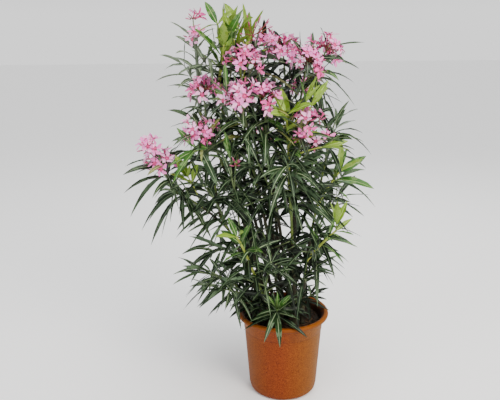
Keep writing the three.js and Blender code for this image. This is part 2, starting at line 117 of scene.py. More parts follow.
# A cyme: its open flowers, its buds, how far the flowers stand from where it branches, and how
# far that is past the shoot's last leaves.
Cyme = namedtuple("Cyme", "flowers buds reach rise")
Shoot = namedtuple("Shoot", "name start way length bow kind finer cyme", defaults=[1, None])
SHOOTS = [
    Shoot("crest_bloom_left", ("cane_tall_left", 1), (-110, 5), 210, 4, "arching", 0,
          Cyme(5, 7, 42, 2)),
    Shoot("crest_young_left", ("cane_crest_left", 1), (-45, 8), 178, 6, "crest", 1),
    Shoot("crest_young_right", ("cane_crest_right", 1), (-70, 12), 160, 6, "crest", 1),
    Shoot("upper_left_bloom", ("cane_middle", 1), (-104, 10), 227, 4, "flowering", 1,
          Cyme(12, 14, 68, -10)),
    Shoot("centre_left_bloom", ("cane_middle", 0.8), (-108, 28), 280, 10, "flowering", 3,
          Cyme(16, 12, 72, -8)),
    Shoot("centre_right_bloom", ("cane_middle_right", 1), (-97, 27), 178, 6, "flowering", 2,
          Cyme(14, 13, 68, -8)),
    Shoot("upper_middle_bloom", ("cane_tall_right", 1), (-120, 8), 200, 4, "flowering", 1,
          Cyme(14, 18, 78, -8)),
    Shoot("right_crown_bloom", ("bough_top_right", 0.6), (-83, 39), 151, 8, "flowering", 0,
          Cyme(17, 14, 78, -6)),
    Shoot("far_right_crown_bloom", ("bough_top_right", 1), (0, 21), 134, 8, "flowering", 0,
          Cyme(15, 12, 74, -16)),
    Shoot("right_shoulder_young", ("cane_front_right", 1), (-102, 14), 200, 4, "young", 1),
    Shoot("right_bloom", ("cane_front_right", 0.75), (-71, 16), 320, 10, "flowering", 0,
          Cyme(8, 3, 46, 8)),
    Shoot("right_shoulder", ("bough_right_shoulder", 1), (-20, 12), 135, 6, "mature", 0),
    Shoot("left_shoulder_bloom", ("bough_left_shoulder", 1), (-116, 4), 178, 6, "flowering", 1,
          Cyme(12, 9, 62, 14)),
    Shoot("left_arm_bloom", ("bough_left_shoulder", 0.6), (-111, 31), 180, 10, "flowering", 0,
          Cyme(14, 7, 72, -10)),
    Shoot("far_left_bloom", ("bough_far_left", 1), (-149, 23), 104, 8, "flowering", 1,
          Cyme(16, 9, 76, -26)),
    Shoot("far_left_under", ("bough_far_left", 0.75), (-140, 64), 52, 10, "drooping", 0),
    Shoot("left_arm_inner", ("cane_left_arm", 0.88), (-134, 32), 181, 12, "mature", 0),
    Shoot("middle_left", ("cane_left_arm", 0.6), (-100, 26), 315, 12, "mature", 1),
    Shoot("middle_front", ("cane_middle_right", 0.62), (-115, 37), 250, 10, "mature", 3),
    Shoot("middle_right", ("cane_right_arm", 0.55), (-16, 24), 226, 10, "mature", 0),
    Shoot("right_arm_young", ("cane_right_arm", 1), (-38, 32), 142, 8, "young", 0),
    Shoot("right_low_young", ("cane_right_low", 1), (-32, 40), 150, 6, "fresh", 0),
    Shoot("right_low", ("cane_right_low", 0.6), (-40, 27), 75, 14, "low", 0),
    Shoot("low_left_young", ("cane_front_left", 1), (-124, 31), 198, 6, "fresh", 1),
    Shoot("low_left", ("cane_low_left", 1), (-170, 64), 125, 12, "low", 1),
    Shoot("low_left_droop", ("cane_low_left", 0.6), (-140, 58), 115, 16, "low", 0),
    Shoot("foot_rosette", ("foot_sprout", 1), (-94, 27), 46, 0, "rosette"),
    Shoot("low_front", ("cane_front_left", 0.6), (-80, 33), 190, 10, "low", 1),
    Shoot("low_middle", ("cane_middle", 0.25), (-115, 29), 210, 10, "low", 2),
    Shoot("back_crest", ("cane_back_middle", 1), (35, 4), 210, 4, "flowering", 1,
          Cyme(11, 10, 64, 4)),
    Shoot("back_upper_left", ("cane_back_left", 1), (115, 16), 200, 8, "flowering", 1,
          Cyme(12, 8, 62, 4)),
    Shoot("back_upper_right", ("cane_back_right", 1), (70, 15), 195, 8, "flowering", 1,
          Cyme(12, 8, 64, 4)),
    Shoot("back_left", ("cane_back_left", 0.6), (135, 56), 220, 12, "mature", 1),
    Shoot("back_right", ("cane_back_right", 0.6), (50, 51), 205, 12, "mature", 1),
    Shoot("back_middle", ("cane_back_middle", 0.6), (100, 49), 230, 12, "flowering", 2,
          Cyme(11, 8, 58, 4)),
    Shoot("back_low_left", ("cane_back_left", 0.3), (150, 80), 195, 14, "mature", 1),
    Shoot("back_low_right", ("cane_back_right", 0.3), (60, 71), 140, 14, "mature", 1),
    Shoot("back_low", ("cane_back_middle", 0.25), (110, 74), 165, 14, "mature", 1),
]

# Late sprigs on canes, boughs and shoots: young growth in bright leaf, small flower sprays,
# leaves for the crown's core and the shade leaves at the plant's foot, most in painted shade.
SPRIGS = [
    Shoot("crest_young_middle", ("cane_crest_right", 1), (-106, 29), 189, 6, "bright"),
    Shoot("crest_young_far_left", ("cane_crest_left", 1), (-74, 25), 183, 6, "crest"),
    Shoot("crest_spread_left", ("crest_young_left", 0.9), (-110, 30), 70, 14, "spreading"),
    Shoot("crest_spread_right", ("crest_young_right", 0.8), (-112, 38), 80, 14, "spreading"),
    Shoot("upper_left_second_bloom", ("upper_left_bloom", 0.62), (-44, 33), 80, 6, "bare", 0,
          Cyme(5, 4, 42, 0)),
    Shoot("crest_buds", ("crest_young_right", 0.5), (-69, 37), 100, 6, "bare", 0,
          Cyme(0, 12, 84, 10)),
    Shoot("crest_bloom_left_upper", ("crest_bloom_left", 1), (-176, 4), 53, 0, "bare", 0,
          Cyme(3, 5, 30, 0)),
    Shoot("upper_fresh", ("centre_left_bloom", 0.62), (-144, 34), 120, -14, "leafy"),
    Shoot("front_hanging", ("right_shoulder_young", 0.1), (-98, 52), 92, 10, "drooping"),
    Shoot("young_middle", ("right_shoulder_young", 0.88), (-100, 30), 50, 6, "spreading"),
    Shoot("young_right", ("right_shoulder_young", 0.9), (-37, 38), 96, -20, "bright"),
    Shoot("right_second_bloom", ("right_bloom", 0.8), (-103, 66), 46, 6, "bare", 0,
          Cyme(2, 2, 20, 0)),
    Shoot("arm_leafy", ("left_arm_bloom", 0.5), (-112, 64), 78, 10, "broad"),
    Shoot("far_left_bright", ("bough_far_left", 0.5), (-116, 34), 133, 8, "bright"),
    Shoot("far_left_second_bloom", ("far_left_bloom", 0.5), (-135, 32), 97, 6, "bare", 0,
          Cyme(7, 3, 42, 2)),
    Shoot("middle_left_bright", ("middle_left", 1), (-100, 16), 62, 6, "leafy"),
    Shoot("middle_left_buds", ("middle_left", 0.85), (-82, 34), 100, 6, "bare", 0,
          Cyme(0, 7, 22, 0)),
    Shoot("right_bright_upper", ("right_bloom", 1), (-40, 23), 52, 4, "bright"),
    Shoot("right_bright_middle", ("right_bloom", 0.7), (-17, 72), 70, 6, "bright"),
    Shoot("right_faded_low", ("right_shoulder", 0.2), (-111, 66), 140, 8, "bare", 0,
          Cyme(2, 5, 26, 0)),
    Shoot("right_faded_high", ("right_shoulder", 0.3), (-101, 62), 106, 8, "bare", 0,
          Cyme(1, 4, 22, 0)),
    Shoot("low_left_tip", ("cane_low_left", 1), (-162, 57), 135, 8, "low"),
    Shoot("low_left_edge", ("cane_low_left", 0.9), (-143, 71), 120, 8, "low"),
    Shoot("rosette_front", ("foot_rosette", 0.55), (-60, 24), 14, 0, "rosette"),
]
# More of them: the cane each grows on, at what share of the cane's length, its way and its length.
CORE_SPRIGS = [
    ("core_crest_left", "cane_crest_left", 0.86, (75, 38), 150),
    ("core_crest_right", "cane_crest_right", 0.78, (95, 34), 150),
    ("core_crest_right_upper", "cane_crest_right", 1, (70, 32), 140),
    ("core_tall_right", "cane_tall_right", 0.84, (62, 36), 140),
    ("core_tall_right_low", "cane_tall_right", 0.6, (40, 42), 150),
    ("core_crest_left_low", "cane_crest_left", 0.6, (120, 42), 150),
]
FOOT_SPRIGS = [
    ("foot_left", "cane_left_arm", 0.1, (-150, 50), 60),
    ("foot_far_left", "cane_low_left", 0.35, (120, 40), 70),
    ("foot_front_left", "cane_front_left", 0.3, (170, 42), 70),
    ("foot_crest_left", "cane_crest_left", 0.06, (150, 45), 75),
    ("foot_crest_right", "cane_crest_right", 0.07, (95, 40), 80),
    ("foot_middle", "cane_middle", 0.07, (-60, 42), 70),
    ("foot_back_left", "cane_back_left", 0.08, (120, 40), 80),
    ("foot_back", "cane_back_middle", 0.07, (60, 38), 85),
    ("foot_back_right", "cane_back_right", 0.08, (30, 38), 70),
    ("foot_tall_left", "cane_tall_left", 0.07, (-120, 40), 65),
    ("foot_rim_left", "cane_low_left", 0.3, (-110, 35), 60),
    ("foot_rim_far_left", "cane_low_left", 0.15, (160, 25), 60),
    ("foot_rim_front", "cane_front_left", 0.2, (-160, 30), 60),
    ("foot_arm_front", "cane_left_arm", 0.1, (-95, 38), 70),
    ("foot_inner_left", "cane_crest_left", 0.1, (-170, 35), 70),
    ("foot_inner_back", "cane_back_middle", 0.12, (130, 35), 70),
    ("foot_inner_right", "cane_tall_right", 0.07, (100, 36), 75),
    ("foot_inner_middle", "cane_middle_right", 0.09, (80, 38), 75),
    ("foot_inner_front", "cane_front_right", 0.1, (-150, 42), 55),
    ("foot_front_right", "cane_front_right", 0.13, (-75, 38), 60),
    ("foot_right_front", "cane_right_arm", 0.12, (-60, 42), 65),
]
for rows, bow, kind in [(CORE_SPRIGS, 10, "mature"), (FOOT_SPRIGS, 8, "shade")]:
    SPRIGS += [Shoot(name, (cane, share), way, length, bow, kind)
               for name, cane, share, way, length in rows]
SPRIGS += [
    Shoot("right_low_bright", ("right_low_young", 1), (-70, 8), 18, 0, "bright"),
    Shoot("right_third_bloom", ("right_bloom", 0.8), (-38, 40), 92, 6, "bare", 0,
          Cyme(1, 4, 20, 0)),
]

# Side twigs: where each leaves the shoot's stem, on which side, and its share of the shoot's
# length. The first two are the source's own; the finer ones carry its rule further.
SIDE_TWIGS = [(0.3, -1, 0.5), (0.6, 1, 0.36)]
FINER_TWIGS = [(0.14, 1, 0.42), (0.42, 1, 0.4), (0.5, -1, 0.34), (0.76, -1, 0.28)]
TWIG_TURN = (65, 115)
TWIG_LEAN = (24, 40)
TWIG_MOST_LEAN = 80
TWIG_LENGTH_SPREAD = 0.15
FIRST_SEED = 1009
FINER_SEED = 500009
SPRIG_SEED = 900007
SEED_STEP = 97

# How a kind of shoot bears its leaves. Each pair is the value at the stem's lowest whorl and at
# its tip: degrees between stem and leaf, droop of the leaf's tip over its length, length, and
# widest part over its length. Then come the share of the stem below the first whorl, and how far
# apart the whorls stand on a shoot and on a twig.
Habit = namedtuple("Habit", "open sag length width leafy_from spacing twig_spacing")
HABITS = {
    "mature": Habit((72, 32), (0.62, 0.3), (134, 108), (0.135, 0.135), 0.1, 38, 32),
    "arching": Habit((64, 40), (0.6, 0.3), (124, 100), (0.14, 0.13), 0.05, 30, 38),
    "low": Habit((64, 30), (0.45, 0.2), (108, 88), (0.12, 0.12), 0.15, 36, 32),
    "shade": Habit((70, 34), (0.4, 0.2), (88, 66), (0.14, 0.14), 0.25, 15, 15),
    "drooping": Habit((60, 44), (0.85, 0.65), (106, 94), (0.155, 0.155), 0.1, 34, 44),
    "flowering": Habit((74, 44), (0.6, 0.34), (134, 106), (0.115, 0.12), 0.12, 38, 34),
    "crest": Habit((66, 18), (0.4, 0.08), (130, 112), (0.14, 0.23), 0.2, 40, 40),
    "young": Habit((74, 26), (0.6, 0.12), (136, 104), (0.13, 0.25), 0.12, 34, 34),
    "fresh": Habit((70, 38), (0.5, 0.15), (112, 80), (0.14, 0.24), 0.12, 34, 38),
    "bright": Habit((56, 20), (0.35, 0.1), (98, 88), (0.2, 0.24), 0.7, 30, 30),
    "spreading": Habit((74, 48), (0.4, 0.2), (98, 90), (0.22, 0.25), 0.7, 30, 30),
    "leafy": Habit((50, 20), (0.35, 0.1), (96, 84), (0.17, 0.19), 0.6, 30, 30),
    "broad": Habit((74, 56), (0.4, 0.2), (104, 96), (0.2, 0.22), 0.6, 30, 30),
    "rosette": Habit((90, 26), (0.34, 0.1), (114, 62), (0.16, 0.18), 0.2, 6, 6),
}
YOUNG_KINDS = ("crest", "young", "fresh", "bright", "spreading")
TWIG_KINDS = {"crest": "arching", "young": "mature", "fresh": "low"}
POT_KINDS = ("rosette", "shade")  # which may lie over the pot
WHORL_TURNS = {"rosette": 30}  # degrees, so that a leaf hangs over the rim in front
WHORL_LEAVES = 3
SHOOT_MOST_STEP = 0.3
TWIG_MOST_STEP = 0.5
WHORL_TOP_SHARE = 0.985
TWIG_LEAFY_FROM = 0.3
AROUND_SPREAD = 16
OPEN_SPREAD = 11
SAG_SPREAD = 0.45
SIZE_SPREAD = 0.14
WIDTH_SPREAD = 0.12
ROLL_SPREAD = 0.5
TWIST_SPREAD = 0.6
CROWDING_TRIES = 8
CROWDING_TURN = 15
CROWDING_CLOSE = 0.075
CROWDING_SHORTEN = 0.05
CROWDING_LIFT = 0.1
BOX_MARGIN = 12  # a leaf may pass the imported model's box by this much
OVER_POT_MARGINS = (5, 5)  # aside of the rim and above the mix, for the kinds that lie over the pot
CLEAR_OF_POT_MARGINS = (50, 95)  # the same two, for the others
RIM_MARGIN_INSIDE = 7
RIM_MARGIN_ABOVE = 4
POT_MARGIN = 2
SHADE_RADIUS = 148  # of the crown's core, whose leaves are painted in shade
SHADE_SHIFT = -0.1  # x of that core's middle over its height above the pot

# A blade at stations from stalk to tip: its half width over its widest, and its midrib's half
# width and its own thickness in millimetres.
LEAF_STATIONS = np.array([0, 0.05, 0.13, 0.26, 0.42, 0.6, 0.77, 0.91, 1])
LEAF_OUTLINE = np.array([0.13, 0.15, 0.5, 0.85, 1, 0.94, 0.68, 0.32, 0.02])
MIDRIB_HALF = np.array([1.2, 1.2, 1.15, 1.05, 0.95, 0.8, 0.6, 0.35, 0.1])
BLADE_THICK = np.array([1.3, 1.4, 1.2, 1, 0.9, 0.75, 0.6, 0.35, 0.05])
BLADE_FOLD = 0.22  # how far its edges rise over its midrib, over its half width
RIPPLE_HEIGHT = 0.06  # of its wavy edges, over its width
RIPPLE_PHASE = 14  # radians along the whole blade
RIPPLE_SHIFT = 9  # radians for each radian of twist, so that no two leaves wave alike
TWIST_PIVOT = 0.3  # the station that a twist leaves in place


# ------------------------------------------------------------------ small helpers
def mix(a, b, share):
    return a + (b - a) * share


def spread(amount, random):
    return mix(-amount, amount, random())


def seeded_random(seed):
    """Park-Miller numbers in 0..1, the same on every run and as the source's."""
    state = seed

    def draw():
        nonlocal state
        state = (state * 16807) % 2147483647
        return state / 2147483647

    return draw


def unit(vectors):
    return vectors / np.linalg.norm(vectors, axis=-1, keepdims=True)


def direction(heading, lean):
    around, down = math.radians(heading), math.radians(lean)
    return np.array([math.cos(around) * math.sin(down), math.sin(around) * math.sin(down),
                     math.cos(down)])


UP = np.array([0.0, 0.0, 1.0])


class CentreLine:
    """The line of a limb, which bows within the upright plane that it leans in."""

    def __init__(self, start, way, length, bow):
        heading, lean = way
        self.start = np.asarray(start, float)
        self.length = length
        reach = length / (2 * math.cos(math.radians(bow)))
        self.knee = self.start + direction(heading, lean - bow) * reach
        self.end = self.start + direction(heading, lean) * length
        self.side = direction(heading + 90, 90)

    def point(self, t):
        t = np.asarray(t, float)[..., None]
        return self.start * (1 - t) ** 2 + self.knee * 2 * t * (1 - t) + self.end * t * t

    def tangent(self, t):
        t = np.asarray(t, float)[..., None]
        return unit((self.knee - self.start) * (1 - t) + (self.end - self.knee) * t)

    def frame(self, share):
        tangent = self.tangent(share)
        return self.point(share), tangent, self.side, np.cross(self.side, tangent)


# ------------------------------------------------------------------ meshes
class Pile:
    """Points and faces of many small things, which become one piece."""

    def __init__(self):
        self.points, self.faces, self.uvs, self.count = [], [], [], 0

    def add(self, points, faces, uv=None):
        points = np.asarray(points, float).reshape(-1, 3)
        self.points.append(points)
        self.faces.append(np.asarray(faces) + self.count)
        self.uvs.append(np.zeros((len(points), 2)) if uv is None else uv.reshape(-1, 2))
        self.count += len(points)


def make_piece(name, pile, finish, slot, replaced=()):
    """Joins a pile into one object that rides on the model in the given finish."""
    mesh = bpy.data.meshes.new(name)
    points = np.concatenate(pile.points) * METRES
    faces = [face for block in pile.faces for face in block.tolist()]
    mesh.from_pydata(points.tolist(), [], faces)
    corners = np.empty(len(mesh.loops), np.int32)
    mesh.loops.foreach_get("vertex_index", corners)
    uv = np.concatenate(pile.uvs)[corners]
    mesh.uv_layers.new(name="millimetres").data.foreach_set("uv", uv.ravel())
    mesh.shade_smooth()
    mesh.materials.append(finish)
    piece = bpy.data.objects.new(name, mesh)
    bpy.context.scene.collection.objects.link(piece)
    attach(piece, "root")
    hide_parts(*replaced)


def grid_faces(rows, columns, wrap=False):
    """The quads of a grid of points, listed row by row. Wrap joins its last column to its first."""
    last = columns if wrap else columns - 1
    row, column = np.meshgrid(np.arange(rows - 1), np.arange(last), indexing="ij")
    a = row * columns + column
    b = row * columns + (column + 1) % columns
    return np.stack([a, b, b + columns, a + columns], -1).reshape(-1, 4)


def tube(centres, sides, fronts, radii, count):
    """Rings round a line. Radii is one number a ring, or one for each point of each ring."""
    angle = np.linspace(0, 2 * np.pi, count, endpoint=False)
    radii = np.asarray(radii, float).reshape(len(centres), -1, 1)
    ring = (sides[:, None] * np.cos(angle)[None, :, None]
            + fronts[:, None] * np.sin(angle)[None, :, None])
    return centres[:, None] + ring * radii


def add_tube(pile, points):
    """Adds a tube's rings, with both its ends closed."""
    rings, count = points.shape[:2]
    start = points[0].mean(0)
    end = points[-1].mean(0)
    pile.add(np.concatenate([points.reshape(-1, 3), [start, end]]),
             grid_faces(rings, count, wrap=True))
    base = pile.count - rings * count - 2
    point = np.arange(count)
    following = (point + 1) % count
    low = np.stack([following, point, np.full(count, rings * count)], -1)
    last = (rings - 1) * count
    high = np.stack([last + point, last + following, np.full(count, rings * count + 1)], -1)
    pile.faces.append(low + base)
    pile.faces.append(high + base)


# ------------------------------------------------------------------ finishes
def linear(code):
    """An sRGB hex colour as linear red, green, blue and alpha."""
    values = [int(code[i:i + 2], 16) / 255 for i in (0, 2, 4)]
    return (*[v / 12.92 if v <= 0.04045 else ((v + 0.055) / 1.055) ** 2.4 for v in values], 1)


def add_node(tree, kind, settings=(), inputs=()):
    """Adds a node. Settings are its own choices; an input is a value, or a socket to link."""
    node = tree.nodes.new(kind)
    for name, value in dict(settings).items():
        setattr(node, name, value)
    for name, value in dict(inputs).items():
        if isinstance(value, bpy.types.NodeSocket):
            tree.links.new(value, node.inputs[name])
        else:
            node.inputs[name].default_value = value
    return node


def new_material(name):
    """A material, its node tree and the places of its points: Object in metres, UV in
    millimetres across and along a leaf or petal."""
    material = bpy.data.materials.new(name)
    material.use_nodes = True
    tree = material.node_tree
    tree.nodes.clear()
    return material, tree, add_node(tree, "ShaderNodeTexCoord").outputs


def two_tone(tree, pattern, between, first, second, most=1.0):
    """A colour that goes from the first to the second as a pattern's value goes from one end of
    between to the other. Most is how much of the second there is in the end."""
    amount = add_node(tree, "ShaderNodeMapRange", (), {
        "Value": pattern, "From Min": between[0], "From Max": between[1], "To Max": most})
    blend = add_node(tree, "ShaderNodeMixRGB", (), {
        "Fac": amount.outputs["Result"], "Color1": first, "Color2": second})
    return blend.outputs["Color"]


def finish_with(tree, inputs):
    """Ends a node tree in one surface shader with those inputs."""
    shader = add_node(tree, "ShaderNodeBsdfPrincipled", (), inputs)
    add_node(tree, "ShaderNodeOutputMaterial", (), {"Surface": shader.outputs["BSDF"]})


def per_mm(size):
    """A pattern's scale, in repeats a metre, from its real size in millimetres."""
    return 1 / (size * METRES)


def per_band(width):
    """A banded pattern's scale from the real width of its bands in millimetres."""
    return 1 / width / math.pi


def leaf_blade(name, shade, light, roughness=0.36, coat=0.15):
    """Living leaf, top side: a leathery blade under a wax skin, so a soft gloss over a deep
    colour that is mottled from patch to patch, with fine side veins square to the midrib."""
    material, tree, place = new_material(name)
    patches = add_node(tree, "ShaderNodeTexNoise", (), {
        "Vector": place["Object"], "Scale": per_mm(45), "Detail": 3.0})
    colour = two_tone(tree, patches.outputs["Fac"], (0.35, 0.65), linear(shade), linear(light))
    # Real side veins are 1 mm apart; they are drawn 2.5 mm apart to show.
    veins = add_node(tree, "ShaderNodeTexWave", {"bands_direction": "Y"}, {
        "Vector": place["UV"], "Scale": per_band(2.5), "Distortion": 0.6})
    relief = add_node(tree, "ShaderNodeBump", (), {
        "Height": veins.outputs["Fac"], "Strength": 0.15, "Distance": 0.2 * METRES})
    finish_with(tree, {
        "Base Color": colour, "Roughness": roughness, "IOR": 1.42, "Specular IOR Level": 0.3,
        "Coat Weight": coat, "Coat Roughness": 0.25, "Subsurface Weight": 0.08,
        "Subsurface Radius": (0.001, 0.002, 0.0005), "Normal": relief.outputs["Normal"]})
    return material


def leaf_underside(name, shade, light):
    """Living leaf, underside: no wax gloss, paler and matt, with a faint net of veins."""
    material, tree, place = new_material(name)
    net = add_node(tree, "ShaderNodeTexVoronoi", {"feature": "DISTANCE_TO_EDGE"}, {
        "Vector": place["Object"], "Scale": per_mm(5)})
    colour = two_tone(tree, net.outputs["Distance"], (0.0, 0.3), linear(light), linear(shade))
    finish_with(tree, {
        "Base Color": colour, "Roughness": 0.7, "IOR": 1.42, "Specular IOR Level": 0.3})
    return material


GRAIN_SIZE = 1.0
GRAIN_DEPTH = 0.1


def plant_skin(name, shade, light, patch_mm, roughness):
    """Soft plant tissue, such as a midrib, a green stem or a bud: one hue that shifts from
    patch to patch, with a fine grain that breaks up its gloss."""
    material, tree, place = new_material(name)
    patches = add_node(tree, "ShaderNodeTexNoise", (), {
        "Vector": place["Object"], "Scale": per_mm(patch_mm), "Detail": 4.0})
    colour = two_tone(tree, patches.outputs["Fac"], (0.35, 0.65), linear(shade), linear(light))
    grain = add_node(tree, "ShaderNodeTexNoise", (), {
        "Vector": place["Object"], "Scale": per_mm(GRAIN_SIZE), "Detail": 2.0})
    relief = add_node(tree, "ShaderNodeBump", (), {
        "Height": grain.outputs["Fac"], "Strength": 0.4, "Distance": GRAIN_DEPTH * METRES})
    finish_with(tree, {
        "Base Color": colour, "Roughness": roughness, "IOR": 1.42,
        "Normal": relief.outputs["Normal"]})
    return material


def petal_skin(name, shade, light):
    """Living petal: thin moist tissue with a velvet of tiny cells, so light glows through it and
    its edge has a soft sheen. Fine streaks run along it."""
    material, tree, place = new_material(name)
    streaks = add_node(tree, "ShaderNodeTexWave", {"bands_direction": "X"}, {
        "Vector": place["UV"], "Scale": per_band(2), "Distortion": 1.5})
    colour = two_tone(tree, streaks.outputs["Fac"], (0.1, 0.9), linear(light), linear(shade))
    finish_with(tree, {
        "Base Color": colour, "Roughness": 0.6, "IOR": 1.4, "Sheen Weight": 0.25,
        "Subsurface Weight": 0.25, "Subsurface Radius": (0.003, 0.0015, 0.0015)})
    return material


def cane_bark():
    """Young bark: grey-brown cork split lengthwise, with pale pores and patches that are still
    green, dull all over."""
    material, tree, place = new_material("cane_bark")
    stretch = add_node(tree, "ShaderNodeMapping", (), {
        "Vector": place["Object"], "Scale": (1.0, 1.0, 0.22)})
    splits = add_node(tree, "ShaderNodeTexNoise", (), {
        "Vector": stretch.outputs["Vector"], "Scale": per_mm(4), "Detail": 6.0,
        "Roughness": 0.65})
    cork = two_tone(tree, splits.outputs["Fac"], (0.38, 0.62), linear("1e1b12"), linear("444030"))
    green = add_node(tree, "ShaderNodeTexNoise", (), {
        "Vector": place["Object"], "Scale": per_mm(60), "Detail": 4.0})
    skin = two_tone(tree, green.outputs["Fac"], (0.5, 0.62), cork, linear("34421f"), 0.55)
    pores = add_node(tree, "ShaderNodeTexVoronoi", (), {
        "Vector": place["Object"], "Scale": per_mm(6)})
    colour = two_tone(tree, pores.outputs["Distance"], (0.2, 0.1), skin, linear("5e5644"))
    relief = add_node(tree, "ShaderNodeBump", (), {
        "Height": splits.outputs["Fac"], "Strength": 0.7, "Distance": 0.6 * METRES})
    finish_with(tree, {
        "Base Color": colour, "Roughness": 0.85, "IOR": 1.4, "Normal": relief.outputs["Normal"]})
    return material


RIM_FOOT = POT_HEIGHT - RIM_DEPTH
COLLAR_FOOT = POT_HEIGHT - COLLAR_DEPTH
LEAST_LIT_STRIP_X = -0.03  # x in metres of the strip, front and back, painted least lit; the pot's sides either side of it are painted paler ochre, as painted light
PAINTED_SHADE_DEPTH = 12  # how far down from the rim's foot the wall is painted in shade, outside under the rim and inside towards the mix


def pot_polypropylene():
    """Polypropylene, injection moulded and speckled through to look like fired clay: a satin
    skin with fine light and dark specks. Painted light: its sides, left and right of a strip
    down its front and back, are paler ochre, and its rim is paler still as a painted highlight.
    Painted shadow: a dark band under the rim and a dark line along the collar's foot."""
    material, tree, place = new_material("pot_polypropylene")
    specks = add_node(tree, "ShaderNodeTexNoise", (), {
        "Vector": place["Object"], "Scale": per_mm(3.2), "Detail": 2.0,
        "Roughness": 0.6})
    speck = specks.outputs["Fac"]
    clay = two_tone(tree, speck, (0.34, 0.66), linear("58220a"), linear("863c12"))
    # painted light: the paler ochre of the pot's lit sides
    lit_side_clay = two_tone(tree, speck, (0.34, 0.66), linear("5e3606"), linear("88540a"))
    clouds = add_node(tree, "ShaderNodeTexNoise", (), {
        "Vector": place["Object"], "Scale": per_mm(70), "Detail": 3.0})
    parts = add_node(tree, "ShaderNodeSeparateXYZ", (), {"Vector": place["Object"]})
    height = parts.outputs["Z"]
    # painted light: the sides turn paler ochre the further they are from the strip down the front
    # and back
    from_strip = add_node(tree, "ShaderNodeMath", {"operation": "SUBTRACT"}, {
        0: parts.outputs["X"], 1: LEAST_LIT_STRIP_X})
    aside = add_node(tree, "ShaderNodeMath", {"operation": "ABSOLUTE"}, {
        0: from_strip.outputs["Value"]})
    lit_sides = two_tone(tree, aside.outputs["Value"], (0.02, 0.15), clay, lit_side_clay)
    # painted shadow: the wall darkens under the rim's overhang
    shadow_under_rim = add_node(tree, "ShaderNodeMapRange", (), {
        "Value": height, "From Min": (RIM_FOOT - PAINTED_SHADE_DEPTH) * METRES,
        "From Max": (RIM_FOOT + 1) * METRES, "To Max": 0.4})
    # painted shadow: a thin dark line along the collar's foot
    from_collar = add_node(tree, "ShaderNodeMath", {"operation": "SUBTRACT"}, {
        0: height, 1: (COLLAR_FOOT - 0.5) * METRES})
    collar_distance = add_node(tree, "ShaderNodeMath", {"operation": "ABSOLUTE"}, {
        0: from_collar.outputs["Value"]})
    shadow_at_collar = add_node(tree, "ShaderNodeMapRange", (), {
        "Value": collar_distance.outputs["Value"], "From Min": 3 * METRES,
        "From Max": 1 * METRES, "To Max": 0.3})
    painted_shadow = add_node(tree, "ShaderNodeMath", {"operation": "ADD"}, {
        0: shadow_under_rim.outputs["Result"], 1: shadow_at_collar.outputs["Result"]})
    # painted shadow: both bands darken the wall towards a dark brown
    shadowed_colour = add_node(tree, "ShaderNodeMixRGB", (), {
        "Fac": painted_shadow.outputs["Value"], "Color1": lit_sides, "Color2": linear("3a1604")})
    # painted highlight: the rim turns paler ochre towards its top, half way to a pale ochre
    colour = two_tone(tree, height, (RIM_FOOT * METRES, (POT_HEIGHT - 1) * METRES),
                      shadowed_colour.outputs["Color"], linear("9a520e"), 0.5)
    satin = add_node(tree, "ShaderNodeMapRange", (), {
        "Value": clouds.outputs["Fac"], "To Min": 0.46, "To Max": 0.6})
    relief = add_node(tree, "ShaderNodeBump", (), {
        "Height": specks.outputs["Fac"], "Strength": 0.2, "Distance": 0.2 * METRES})
    finish_with(tree, {
        "Base Color": colour, "Roughness": satin.outputs["Result"], "IOR": 1.49,
        "Specular IOR Level": 0.12, "Normal": relief.outputs["Normal"]})
    return material


def shaded_polypropylene():
    """The same moulded polypropylene inside the rim, matt, in painted shade: brown, darker
    further down towards the mix and mottled in patches."""
    material, tree, place = new_material("shaded_polypropylene")
    shade_mottle = add_node(tree, "ShaderNodeTexNoise", (), {
        "Vector": place["Object"], "Scale": per_mm(14), "Detail": 6.0,
        "Roughness": 0.65})
    parts = add_node(tree, "ShaderNodeSeparateXYZ", (), {"Vector": place["Object"]})
    # painted shade: darker further down inside the pot
    low = add_node(tree, "ShaderNodeMapRange", (), {
        "Value": parts.outputs["Z"], "From Min": (POT_HEIGHT - 1) * METRES,
        "From Max": (RIM_FOOT - PAINTED_SHADE_DEPTH) * METRES, "To Min": -0.25, "To Max": 0.3})
    cover = add_node(tree, "ShaderNodeMath", {"operation": "ADD"}, {
        0: shade_mottle.outputs["Fac"], 1: low.outputs["Result"]})
    # painted shade: from mid brown near the top to dark brown deep inside
    colour = two_tone(tree, cover.outputs["Value"], (0.3, 0.6), linear("703408"),
                      linear("3a200c"))
    finish_with(tree, {
        "Base Color": colour, "Roughness": 0.75, "IOR": 1.49, "Specular IOR Level": 0.25})
    return material


def crumbled(name, shade, light, size_mm):
    """Peat, bark or dry leaf: broken, fibrous and fully matt, darker where it is damp."""
    material, tree, place = new_material(name)
    crumbs = add_node(tree, "ShaderNodeTexNoise", (), {
        "Vector": place["Object"], "Scale": per_mm(size_mm), "Detail": 8.0,
        "Roughness": 0.7})
    colour = two_tone(tree, crumbs.outputs["Fac"], (0.35, 0.7), linear(shade), linear(light))
    relief = add_node(tree, "ShaderNodeBump", (), {
        "Height": crumbs.outputs["Fac"], "Strength": 1.0, "Distance": 1.5 * METRES})
    finish_with(tree, {
        "Base Color": colour, "Roughness": 0.95, "IOR": 1.4, "Normal": relief.outputs["Normal"]})
    return material


